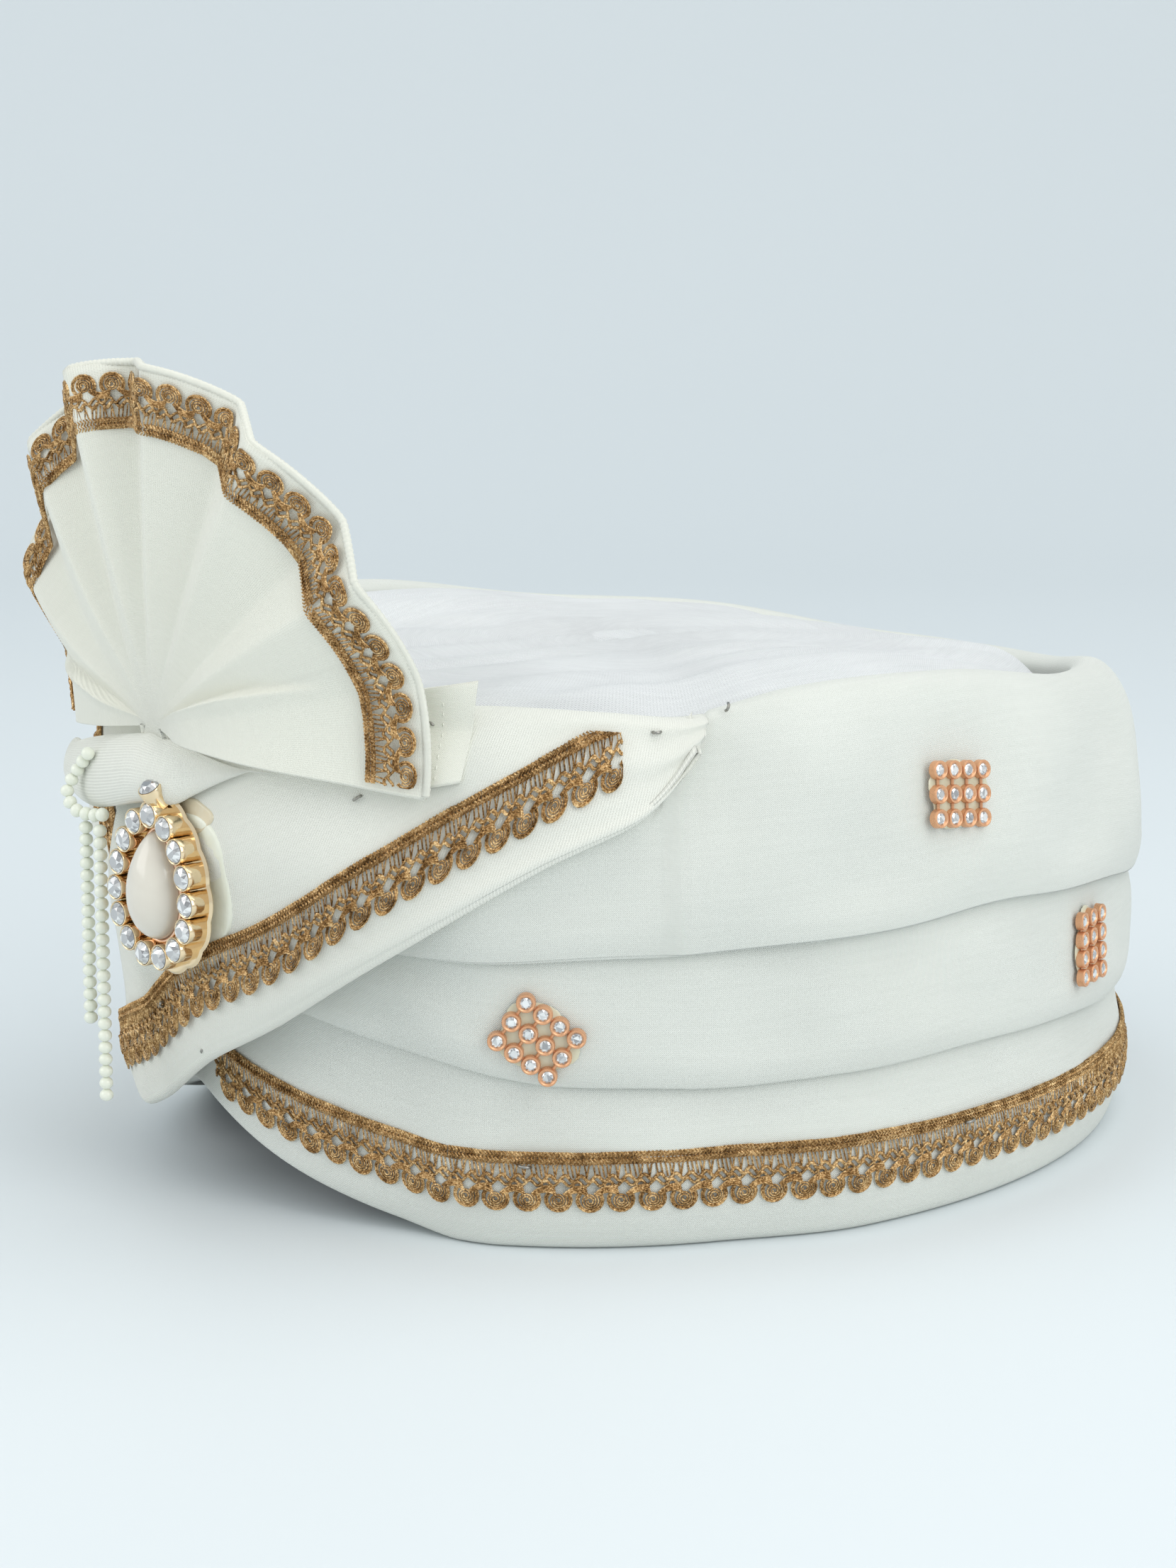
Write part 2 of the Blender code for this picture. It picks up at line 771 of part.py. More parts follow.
def brooch(finishes, collection, cutters):
    place = brooch_place()
    setting = add_object("brooch_setting", plate_mesh(), finishes["gilt"], collection)
    setting.matrix_world = place
    cups = bmesh.new()
    for turn in even_turns(BROOCH_STONES):
        spot = Matrix.Translation((*brooch_outline(turn), 0))
        add_drum(cups, spot, CUP_RADIUS, PLATE / 2, CUP_HEIGHT, 8)
    cups_made = helper("brooch_cups", cups, finishes["gilt"], cutters)
    cups_made.matrix_world = place
    join_into(setting, cups_made)
    tip = bmesh.new()
    add_drum(tip, tip_place(), CUP_RADIUS, -CUP_RADIUS, CUP_RADIUS * 0.6, 10)
    tip_made = helper("brooch_tip_cup", tip, finishes["gilt"], cutters)
    tip_made.matrix_world = place
    join_into(setting, tip_made)

    profile = (
        (0, STONE_HEIGHT),
        (0.56 * STONE_RADIUS, STONE_HEIGHT),
        (STONE_RADIUS, 0.45 * STONE_HEIGHT),
        (0.7 * STONE_RADIUS, 0),
        (0, 0),
    )
    for number, turn in enumerate(even_turns(BROOCH_STONES), 1):
        stone = turned(f"brooch_stone_{number:02d}", profile, 8, finishes["stone"], collection)
        spot = Matrix.Translation((*brooch_outline(turn), CUP_HEIGHT + GAP))
        stone.matrix_world = place @ spot
    stone = turned(f"brooch_stone_{BROOCH_STONES + 1:02d}", profile, 8, finishes["stone"], collection)
    stone.matrix_world = place @ tip_place() @ Matrix.Translation((0, 0, CUP_RADIUS * 0.6 + GAP))
    brooch_pearl(place, finishes["pearl"], collection)


def brooch_pearl(place, finish, collection):
    """The drop-shaped pearl: a ball with a narrowed top and a flat back on the plate."""
    ball = bmesh.new()
    bmesh.ops.create_uvsphere(ball, u_segments=14, v_segments=9, radius=1)
    for point in ball.verts:
        up, side, out = point.co.z, point.co.x, point.co.y
        narrow = 1 - 0.42 * ((1 + up) / 2) ** 2
        bulge = max(out, -0.12) * PEARL_BULGE * (1 - 0.15 * up)
        point.co = (PEARL_HALF_WIDTH * side * narrow, PEARL_HALF_HEIGHT * up, bulge)
    low = min(point.co.z for point in ball.verts)
    for point in ball.verts:
        point.co.z += PLATE + GAP - low
    bmesh.ops.recalc_face_normals(ball, faces=ball.faces)
    mesh = bpy.data.meshes.new("brooch_pearl")
    ball.to_mesh(mesh)
    ball.free()
    shade_round(mesh)
    add_object("brooch_pearl", mesh, finish, collection).matrix_world = place


def string_of_beads(name, points, finish, collection):
    """The tube that a string of beads fills."""
    route = bpy.data.curves.new(name, "CURVE")
    route.dimensions = "3D"
    route.bevel_depth = BEAD_RADIUS
    route.bevel_resolution = 2
    route.use_fill_caps = True
    spline = route.splines.new("POLY")
    spline.points.add(len(points) - 1)
    for target, point in zip(spline.points, points):
        target.co = (*point, 1)
    add_object(name, route, finish, collection)


def smooth_route(points, count):
    """This many points along a smooth curve through the points given."""
    points = np.array(points)
    at = np.linspace(0, len(points) - 1, count)
    table = np.zeros(len(points), dtype=[("at", float), ("x", float), ("y", float), ("z", float)])
    table["at"] = range(len(points))
    for column, name in enumerate("xyz"):
        table[name] = points[:, column]
    return [tuple(read(table, "at", name, place) for name in "xyz") for place in at]


def pearl_strings(finish, collection):
    swag = [(x, STRAND_Y - forward, z) for x, forward, z in SWAG]
    string_of_beads("pearl_swag", smooth_route(swag, 12), finish, collection)
    for name, (x, foot) in (("short", SHORT_STRAND), ("long", LONG_STRAND)):
        points = [(x, STRAND_Y, mix(STRAND_TOP, foot, share)) for share in (0, 0.5, 1)]
        string_of_beads("pearl_strand_" + name, points, finish, collection)


def patch_mesh(finish, collection, cutters):
    """Cups with their stones on a thin plate, joined into one body, facing up its own Z."""
    half_x = PATCH_PITCH * (PATCH_COLUMNS - 1) / 2
    half_y = PATCH_ROW_PITCH * (PATCH_ROWS - 1) / 2
    plate = bmesh.new()
    edge_out = 2 * (PATCH_CUP + GAP)
    size = Matrix.Diagonal((2 * half_x + edge_out, 2 * half_y + edge_out, PATCH_PLATE, 1))
    bmesh.ops.create_cube(plate, size=1, matrix=Matrix.Translation((0, 0, PATCH_PLATE / 2)) @ size)
    cups = bmesh.new()
    rise = PATCH_CUP_HEIGHT + PATCH_CROWN
    for column in range(PATCH_COLUMNS):
        for row in range(PATCH_ROWS):
            x = PATCH_PITCH * column - half_x
            y = PATCH_ROW_PITCH * row - half_y
            spot = Matrix.Translation((x, y, 0))
            before = set(cups.verts)
            add_drum(cups, spot, PATCH_CUP, PATCH_PLATE / 2, PATCH_CUP_HEIGHT, 8)
            lid = [f for f in cups.faces if len(f.verts) == 8 and not before & set(f.verts)]
            top = max(lid, key=lambda face: face.calc_center_median().z)
            table = bmesh.ops.extrude_face_region(cups, geom=[top])["geom"]
            cups.faces.remove(top)
            for point in table:
                if isinstance(point, bmesh.types.BMVert):
                    point.co = (mix(x, point.co.x, 0.5), mix(y, point.co.y, 0.5), rise)
    body = helper("patch_plate", plate, finish, cutters)
    join_into(body, helper("patch_cups", cups, finish, cutters))
    mesh = evaluated_mesh(body)
    mesh.name = "stone_patch"
    return mesh


def patch_place(angle, height, roll, depth_at):
    """The frame just clear of the cloth at this angle and height: Z outwards, X turned by roll."""

    def on_cloth(turn, rise):
        place = (angle + turn, height + rise)
        return wall(*place, depth_at(*place))

    reach = PATCH_PITCH * PATCH_COLUMNS / 2
    turn = degrees(reach / HALF_WIDTH)
    across = (on_cloth(turn, 0) - on_cloth(-turn, 0)).normalized()
    out = across.cross(on_cloth(0, reach) - on_cloth(0, -reach)).normalized()
    spot = on_cloth(0, 0)
    lift = max(
        (on_cloth(turn * side, reach * end) - spot).dot(out) for side in (-1, 0, 1) for end in (-1, 0, 1)
    )
    frame = Matrix((across, out.cross(across), out)).transposed().to_4x4()
    base = Matrix.Translation(spot + out * (lift + GAP))
    return base @ frame @ Matrix.Rotation(radians(roll), 4, "Z")


def stone_patches(finish, collection, cutters):
    mesh = patch_mesh(finish, collection, cutters)
    depths = {"middle": middle_depth, "top": lambda angle, height: seat(angle)}
    for name, angle, share, roll, band in PATCHES:
        height = share * RIM_HEIGHT
        for side, sign in (("left", 1), ("right", -1)):
            made = bpy.data.objects.new(f"stone_patch_{name}_{side}", mesh)
            collection.objects.link(made)
            made.matrix_world = patch_place(sign * angle, height, sign * roll, depths[band])


def stand_at_origin(collection, cutters):
    """Moves everything so that the origin lies at the foot, under the middle of the whole."""
    bpy.context.view_layer.update()
    graph = bpy.context.evaluated_depsgraph_get()
    points = []
    for made in collection.objects:
        evaluated = made.evaluated_get(graph)
        points += [made.matrix_world @ point.co for point in evaluated.to_mesh().vertices]
        evaluated.to_mesh_clear()
    low, high = np.min(points, axis=0), np.max(points, axis=0)
    shift = Matrix.Translation((-(low[0] + high[0]) / 2, -(low[1] + high[1]) / 2, -low[2]))
    for made in (*collection.objects, *cutters.objects):
        made.matrix_world = shift @ made.matrix_world


def main():
    for thing in list(bpy.data.objects):
        bpy.data.objects.remove(thing, do_unlink=True)
    collection = bpy.data.collections.new("turban")
    cutters = bpy.data.collections.new("cutters")
    bpy.context.scene.collection.children.link(collection)
    bpy.context.scene.collection.children.link(cutters)
    finishes = {
        "cloth": material("off_white_cloth", (0.86, 0.84, 0.78), 0.85),
        "mesh": material("grey_white_mesh_cloth", (0.74, 0.74, 0.72), 0.8),
        "lining": material("dark_grey_padding", (0.10, 0.10, 0.11), 0.95),
        "lace": material("antique_gold_lace", (0.42, 0.26, 0.09), 0.5, 0.5),
        "gilt": material("pale_gilt_metal", (0.90, 0.66, 0.36), 0.2, 1.0),
        "copper": material("copper_coloured_metal", (0.60, 0.33, 0.20), 0.3, 1.0),
        "stone": material("clear_cut_stone", (0.93, 0.95, 0.97), 0.05),
        "pearl": material("pearl_coating", (0.92, 0.87, 0.80), 0.2),
        "bead": material("pale_green_pearl", (0.85, 0.88, 0.74), 0.3),
    }
    inner_cap(finishes["lining"], collection)
    crown_cloth(finishes["mesh"], collection)
    lower_band(finishes["cloth"], collection)
    middle_band(finishes["cloth"], collection)
    top_band(finishes["cloth"], collection)
    hem_lace(finishes["lace"], collection)
    for side in ("right", "left"):
        front_wrap(side, finishes["cloth"], collection)
        front_lace(side, finishes["lace"], collection)
        fan_end(side, finishes["cloth"], collection)
    front_knot(finishes["cloth"], collection)
    fan(finishes["cloth"], collection)
    fan_lace(finishes["lace"], collection)
    brooch(finishes, collection, cutters)
    pearl_strings(finishes["bead"], collection)
    stone_patches(finishes["copper"], collection, cutters)
    stand_at_origin(collection, cutters)


main()
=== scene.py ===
"""Looks of the pleated groom's turban: its cloth, lace, fan, brooch, strings of beads and light."""

import bpy
import numpy as np
from mathutils import Matrix, Vector


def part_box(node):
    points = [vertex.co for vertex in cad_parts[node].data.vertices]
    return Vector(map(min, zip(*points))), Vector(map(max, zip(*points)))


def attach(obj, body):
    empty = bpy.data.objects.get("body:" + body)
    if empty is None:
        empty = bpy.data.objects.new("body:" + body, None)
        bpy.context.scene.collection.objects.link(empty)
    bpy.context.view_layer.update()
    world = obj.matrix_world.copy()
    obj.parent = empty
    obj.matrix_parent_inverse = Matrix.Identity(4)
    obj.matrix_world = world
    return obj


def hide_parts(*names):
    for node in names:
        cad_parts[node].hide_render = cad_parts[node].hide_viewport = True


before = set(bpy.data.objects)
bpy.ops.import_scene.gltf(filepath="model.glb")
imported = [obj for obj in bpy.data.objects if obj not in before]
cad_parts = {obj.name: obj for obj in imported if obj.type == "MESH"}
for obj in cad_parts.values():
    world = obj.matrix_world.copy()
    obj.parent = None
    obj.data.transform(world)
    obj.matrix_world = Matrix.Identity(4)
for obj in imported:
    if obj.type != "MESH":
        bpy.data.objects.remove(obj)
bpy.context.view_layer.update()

TAU = 2 * np.pi

# Body, as the part's source has it, in metres and in degrees from the front to the wearer's left.
HALF_WIDTH, HALF_LENGTH, RIM_HEIGHT = 0.108, 0.130, 0.115
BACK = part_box("top_band")[1][1] - HALF_LENGTH
FRONT_LEAN, LEAN_HEIGHT = 0.0075, 0.085
ARCH_HEIGHT, ARCH_MIDDLE, ARCH_ANGLE, ARCH_ROUND, ARCH_CURVE = 0.0245, -16, 48, 4, 1.25
CLOTH, CLEAR, GAP, OVERLAP = 0.0024, 0.0008, 0.0003, 0.009
RIM_ROLL, HEM_TURN = 0.011, 0.009
MIDDLE_INSET, LOWER_INSET = 0.0008, 0.0012
CROWN_CLOTH, CROWN_DROP, CROWN_TUCK = 0.0012, 0.012, 0.003
CAP_WALL, CAP_CROWN, CAP_DROP = 0.012, 0.004, 0.0145
WRAP_SEAT, WRAP_UNDER, WRAP_LOWER_RIM, WRAP_ROLL = 0.0042, 0.0046, 0.0060, 0.008
WRAP_CROSS, WRAP_HIDDEN, WRAP_END, WRAP_OVER = -28, -1, 60, 0.0044
WRAP_TIP_RISE, WRAP_HIDDEN_RISE = 0.0095, 0.006
LACE_WIDTH, LACE_SLANT = 0.0125, 27
HEM_LACE_HEIGHT, HEM_LACE_RISE, FRONT_LACE_HEIGHT = 0.009, 0.75, 0.009
FRONT_LACE_START, FRONT_LACE_END, FRONT_LACE_HIDDEN = -26.5, 51, 17.4
KNOT_TOP, KNOT_TALL, KNOT_PROUD = 0.0995, 0.0145, 0.0080
KNOT_ANGLE, KNOT_HALF_ANGLE, KNOT_PINCH, KNOT_PINCH_ANGLE = -9, 23, 0.86, 9
KNOT_TAPER_START, KNOT_TAPER_END, KNOT_TAPER_LEFT = 3, 13, 0.14
KNOT_CREASE = (0.004, 0.0905, 0.5)
FAN_FOOT = np.array((-0.0077, -0.1290, 0.1052))
FAN_RADIUS, FAN_START, FAN_STEM, FAN_CLOTH = 0.078, 0.0025, 0.0045, 0.0012
FAN_TURN, FAN_LACE_IN, FAN_LACE_OUT, FAN_BEND = -4.4, 0.0143, 0.0018, 0.092
FAN_END_WIDTH, FAN_END_HEIGHT, FAN_END_ANGLE, FAN_END_PROUD, FAN_END_DOWN = 6, 0.021, 33.5, 0.0016, 0.70
BROOCH_X, BROOCH_Z, BROOCH_HALF_WIDTH, BROOCH_HALF_HEIGHT = -0.0019, 0.0731, 0.0140, 0.0149
BROOCH_TAPER, BROOCH_STONES, CUP_RADIUS, CUP_HEIGHT = 0.30, 15, 0.0027, 0.0044
PLATE, PLATE_EDGE, STONE_RADIUS, STONE_HEIGHT = 0.0014, 0.0010, 0.0024, 0.0016
TIP_RISE, TIP_TILT = 0.0043, 55
PEARL_HALF_WIDTH, PEARL_HALF_HEIGHT, PEARL_BULGE = 0.0079, 0.0114, 0.0062
BEAD_RADIUS, STRAND_Y, STRAND_TOP = 0.0015, -0.1335, 0.0832
SHORT_STRAND, LONG_STRAND = (-0.0250, 0.0395), (-0.0200, 0.0235)
SWAG = (
    (-0.0240, -0.0010, 0.0985),
    (-0.0285, -0.0006, 0.0935),
    (-0.0300, 0.0010, 0.0890),
    (-0.0270, 0.0010, 0.0855),
    (-0.0215, 0.0000, 0.0850),
    (-0.0178, 0.0000, 0.0858),
)
PATCH_COLUMNS, PATCH_ROWS, PATCH_PITCH, PATCH_ROW_PITCH = 4, 3, 0.0042, 0.0050
PATCH_CUP, PATCH_CUP_HEIGHT = 0.0020, 0.0015
PATCHES = (
    ("front", 42.5, 0.402, -36, "middle"),
    ("side", 86.5, 0.792, -6, "top"),
    ("back", 110.5, 0.428, 90, "middle"),
)

# Tables as the source has them; the first column is what a place is read along.
WALL = np.array(
    [
        (0.00, 0.955),
        (0.07, 0.978),
        (0.17, 0.985),
        (0.35, 0.987),
        (0.56, 1.0),
        (0.74, 0.993),
        (0.87, 0.97),
        (0.95, 0.946),
        (1.0, 0.925),
    ]
)
# Angle from the front, rim, lower edge of the top band, lower edge of the middle band.
EDGES = np.array(
    [
        (0, 0.965, 0.535, 0.435),
        (20, 0.972, 0.535, 0.370),
        (38, 0.985, 0.540, 0.322),
        (50, 0.972, 0.543, 0.302),
        (58, 0.960, 0.546, 0.296),
        (70, 0.998, 0.553, 0.298),
        (90, 0.998, 0.572, 0.310),
        (115, 0.935, 0.540, 0.290),
        (140, 0.905, 0.505, 0.272),
        (160, 0.860, 0.490, 0.262),
        (180, 0.850, 0.485, 0.260),
    ]
)
RIM, TOP_EDGE, MIDDLE_EDGE = 1, 2, 3
WRAP_EDGE = np.array(
    [
        (-28, 0.091),
        (-20, 0.136),
        (-13, 0.176),
        (0, 0.298),
        (14, 0.405),
        (27, 0.545),
        (43, 0.708),
        (52, 0.785),
        (60, 0.872),
    ]
)
WRAP_SECTIONS = np.array(
    [
        (0.0, 0.13),
        (0.035, -0.03),
        (0.1, -0.1),
        (0.22, 0.0),
        (0.5, 0.0),
        (0.78, 0.0),
        (0.94, 0.08),
        (1.0, 0.4),
        (0.99, 0.75),
    ]
)
TOP_SECTIONS = np.array(
    [
        (0.00, 0.00, 0.020),
        (0.05, 0.06, 0.000),
        (0.55, 0.45, 0.000),
        (0.93, 0.75, 0.060),
        (1.00, 0.86, 0.460),
        (0.95, 0.94, 0.900),
        (0.84, 1.00, 1.000),
    ]
)
MIDDLE_SUNK = np.array([(0.00, 0.10), (0.08, 0.00), (0.46, 0.30), (0.92, 1.00), (2.00, 1.00)])
LOWER_SUNK = np.array([(0.10, 0.00), (0.46, 0.10), (0.92, 1.00), (2.00, 1.00)])
CROWN_SECTIONS = np.array(
    [
        (1.0, 1.0, -0.97),
        (1.0, 0.0, -0.9),
        (0.955, 0.0, -0.35),
        (0.84, 0.0, 0.16),
        (0.55, 0.0, 0.3),
        (0.0, 0.0, 0.28),
    ]
)
FAN_FOLDS = np.array(
    [
        (0.0, 0.955, -1.3, 0.65),
        (10.7, 0.966, 5.1, 0.65),
        (27.2, 0.949, -0.7, 0.65),
        (36.0, 0.926, 5.1, 0.65),
        (53.4, 0.921, 0.0, 0.65),
        (63.5, 0.892, 5.5, 0.71),
        (79.9, 0.905, -1.5, 0.76),
        (97.0, 0.900, -0.5, 0.86),
    ]
)


def mix(start, end, share):
    return start + (end - start) * share


def fade(value, start, end):
    """0 at start and 1 at end, with a smooth change between them."""
    share = np.clip((value - start) / (end - start), 0, 1)
    return share * share * (3 - 2 * share)


def read(rows, column, at):
    """A column of a table at places along its first column, on one smooth curve through its rows."""
    x, y = rows[:, 0], rows[:, column]
    slope = np.gradient(y, x)
    at = np.asarray(at, float)
    i = np.clip(np.searchsorted(x, at, side="right") - 1, 0, len(x) - 2)
    width = x[i + 1] - x[i]
    t = np.clip((at - x[i]) / width, 0, 1)
    near = (1 + 2 * t) * (1 - t) ** 2 * y[i] + t * (1 - t) ** 2 * width * slope[i]
    far = t * t * (3 - 2 * t) * y[i + 1] + t * t * (t - 1) * width * slope[i + 1]
    return near + far


def by_row(table):
    """The table with its row number put first, so that it is read as a smooth line of rows."""
    return np.column_stack([np.arange(len(table)), table])


def point(x, y, z):
    x, y, z = np.broadcast_arrays(x, y, z)
    return np.stack([x, y + BACK, z], axis=-1)


def from_front(angle):
    return np.abs((np.asarray(angle, float) + 180) % 360 - 180)


def edge(column, angle):
    return RIM_HEIGHT * read(EDGES, column, from_front(angle))


def rim(angle):
    return edge(RIM, angle)


def arch(angle):
    """The hem's rise: a power of the share left of ARCH_ANGLE, rounded at its top."""
    away = from_front(angle - ARCH_MIDDLE)
    return ARCH_HEIGHT * np.maximum(1 - np.hypot(away, ARCH_ROUND) / ARCH_ANGLE, 0) ** ARCH_CURVE


def wall(angle, height, depth):
    """An ellipse whose size follows the height, drawn in by the depth and by the front's lean."""
    angle, height, depth = np.broadcast_arrays(np.asarray(angle, float), height, depth)
    ring = read(WALL, 1, np.clip(height / rim(angle), 0, 1))
    lean = FRONT_LEAN * fade(from_front(angle), 66, 12) * fade(height, LEAN_HEIGHT, 0.2 * LEAN_HEIGHT)
    inwards = depth + lean
    turn = np.radians(angle)
    across, back = HALF_WIDTH * ring - inwards, HALF_LENGTH * ring - inwards
    return point(across * np.sin(turn), -back * np.cos(turn), height)


def under_left(angle):
    return fade(angle, 38, 23)


def seat(angle):
    away = from_front(angle)
    return WRAP_SEAT * fade(away, 78, 61) + WRAP_UNDER * under_left(away)


def wrap_edge(angle):
    return RIM_HEIGHT * read(WRAP_EDGE, 1, angle)


def drape(angle, height, seed, wide=26.0, tall=0.030):
    """Soft unevenness from -1 to 1: a few crossed sine waves about this wide, in degrees, and tall."""
    chance = np.random.default_rng(seed)
    total = 0
    for _ in range(6):
        turns, rises, start, part = chance.uniform((0.5, -1.0, 0, 0.5), (1.6, 1.0, TAU, 1.0))
        phase = np.round(360 / wide * turns) * angle / 360 + rises * height / tall
        total = total + part * np.sin(TAU * phase + start)
    return total / 2.6


def middle_depth(angle, height):
    lower = edge(MIDDLE_EDGE, angle)
    sunk = read(MIDDLE_SUNK, 1, (height - lower) / (edge(TOP_EDGE, angle) - lower))
    return seat(angle) + mix(MIDDLE_INSET, CLOTH + CLEAR, sunk)


def lower_depth(angle, height):
    share = (height - arch(angle)) / (edge(MIDDLE_EDGE, angle) - arch(angle))
    return seat(angle) + mix(LOWER_INSET, MIDDLE_INSET + CLOTH + CLEAR, read(LOWER_SUNK, 1, share))


def cap_depth(angle):
    return seat(angle) + MIDDLE_INSET + 2 * (CLOTH + CLEAR) + 2 * GAP


# Meshes


def run_along(path):
    """The length run along a path, from its start to each of its points."""
    return np.concatenate([[0], np.cumsum(np.linalg.norm(np.diff(path, axis=0), axis=1))])


def surface(name, points, closed=False, caps=""):
    """A sheet over rows and columns of points, with a UV map in metres along and up the cloth.

    Where it is closed, its last column joins its first; caps names the end rows that a face closes.
    """
    rows, columns = points.shape[:2]
    spans = columns if closed else columns - 1
    row, column = np.meshgrid(np.arange(rows - 1), np.arange(spans), indexing="ij")
    right = (column + 1) % columns
    corners = [(row, column), (row, right), (row + 1, right), (row + 1, column)]
    faces = np.stack([r * columns + c for r, c in corners], axis=-1).reshape(-1, 4)
    whole = np.concatenate([points, points[:, :1]], axis=1) if closed else points
    middle = whole[rows // 2]
    along = run_along(middle)
    up = np.linalg.norm(np.diff(whole, axis=0), axis=2).cumsum(axis=0)
    up = np.concatenate([np.zeros((1, whole.shape[1])), up])
    uv = np.stack([np.broadcast_to(along, up.shape), up], axis=-1)
    unrolled = [(row, column), (row, column + 1), (row + 1, column + 1), (row + 1, column)]
    loops = np.stack([uv[r, c] for r, c in unrolled], axis=2).reshape(-1, 2)
    faces = faces.tolist()
    if "first" in caps:
        faces.append(list(range(columns))[::-1])
        loops = np.concatenate([loops, points[0, ::-1, :2]])
    if "last" in caps:
        faces.append(list(range((rows - 1) * columns, rows * columns)))
        loops = np.concatenate([loops, points[-1, :, :2]])
    mesh = new_mesh(name, points.reshape(-1, 3), faces)
    mesh.uv_layers.new(name="cloth").data.foreach_set("uv", loops.ravel())
    return mesh


def new_mesh(name, points, faces):
    mesh = bpy.data.meshes.new(name)
    mesh.from_pydata(np.asarray(points, float).tolist(), [], faces)
    mesh.shade_smooth()
    return mesh


def add_piece(name, mesh, finish, replaced=(), sharp=None):
    made = bpy.data.objects.new(name, mesh)
    bpy.context.scene.collection.objects.link(made)
    mesh.materials.append(finish)
    if sharp:
        mesh.set_sharp_from_angle(angle=np.radians(sharp))
    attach(made, "root")
    if replaced:
        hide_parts(*replaced)
    return made


def thicken(made, thickness):
    wall_of = made.modifiers.new("Thickness", "SOLIDIFY")
    wall_of.thickness = thickness
    wall_of.offset = -1
    return made


def add_cloth(name, points, finish, replaced, thickness, closed=False, sharp=None):
    """A sheet of the turban's cloth over the points, thickened inwards."""
    mesh = surface(name, points, closed)
    made = add_piece(name, mesh, FINISHES[finish], [replaced], sharp)
    thicken(made, thickness)
    flat_size(points)


def flat_size(points):
    """The sheet's size laid flat: its mean width by its mean length, summed from its cells."""
    length = np.linalg.norm(np.diff(points, axis=1), axis=2).sum(axis=1).mean()
    width = np.linalg.norm(np.diff(points, axis=0), axis=2).sum(axis=0).mean()
    return float(width), float(length)


def tube(path, radius, sides, flat=1.0):
    """A closed thread: a ring of points round each point of the path, and a cap at each end.

    The rings stand square to the path, turned from the Z axis; flat squeezes them along Z.
    """
    path = np.asarray(path, float)
    radius = np.reshape(radius, (-1, 1, 1))
    way = np.gradient(path, axis=0)
    way /= np.linalg.norm(way, axis=1, keepdims=True)
    side = np.cross(way, (0.0, 0.0, 1.0))
    side /= np.maximum(np.linalg.norm(side, axis=1, keepdims=True), 1e-9)
    over = np.cross(side, way)
    turn = TAU * np.arange(sides) / sides
    rings = (
        path[:, None]
        + radius * np.cos(turn)[None, :, None] * side[:, None]
        + radius * flat * np.sin(turn)[None, :, None] * over[:, None]
    )
    count = len(path)
    row, column = np.meshgrid(np.arange(count - 1), np.arange(sides), indexing="ij")
    right = (column + 1) % sides
    corners = [(row, column), (row + 1, column), (row + 1, right), (row, right)]
    faces = np.stack([r * sides + c for r, c in corners], axis=-1)
    faces = [tuple(face) for face in faces.reshape(-1, 4).tolist()]
    faces.append(tuple(range(sides)))
    faces.append(tuple(range(count * sides - 1, (count - 1) * sides - 1, -1)))
    return rings.reshape(-1, 3), faces


def joined(parts):
    """One list of points and one of faces from several."""
    points, faces, start = [], [], 0
    for some, theirs in parts:
        points.append(some)
        faces += [tuple(i + start for i in face) for face in theirs]
        start += len(some)
    return np.concatenate(points), faces


def copied(unit, places):
    """The unit's points moved by each function of places, with its faces repeated."""
    points, faces = unit
    return joined([(place(points), faces) for place in places])


def moved(matrix):
    matrix = np.array(matrix)
    return lambda points: points @ matrix[:3, :3].T + matrix[:3, 3]


# Materials


def new_group(name, inputs, outputs):
    group = bpy.data.node_groups.new(name, "ShaderNodeTree")
    for label, kind, value in inputs:
        socket = group.interface.new_socket(label, in_out="INPUT", socket_type="NodeSocket" + kind)
        if value is not None:
            socket.default_value = value
    for label, kind in outputs:
        group.interface.new_socket(label, in_out="OUTPUT", socket_type="NodeSocket" + kind)
    entry, leave = group.nodes.new("NodeGroupInput"), group.nodes.new("NodeGroupOutput")
    return group, entry.outputs, leave.inputs


def node(tree, kind, links=(), **values):
    """A node with properties set by name, and inputs linked or valued by position or label."""
    made = tree.nodes.new("ShaderNode" + kind)
    for key, value in values.items():
        setattr(made, key, value)
    for label, source in dict(links).items():
        target = made.inputs[label]
        if isinstance(source, bpy.types.NodeSocket):
            tree.links.new(source, target)
        else:
            target.default_value = source
    return made


def maths(tree, operation, *sources):
    return node(tree, "Math", dict(enumerate(sources)), operation=operation).outputs[0]


def noise(tree, place, scale, detail=2.0):
    return node(tree, "TexNoise", {"Vector": place, "Scale": scale, "Detail": detail}).outputs["Fac"]


def ranged(tree, value, low=0.0, high=1.0, least=0.0, most=1.0):
    limits = {"From Min": low, "From Max": high, "To Min": least, "To Max": most}
    return node(tree, "MapRange", {"Value": value, **limits}).outputs[0]


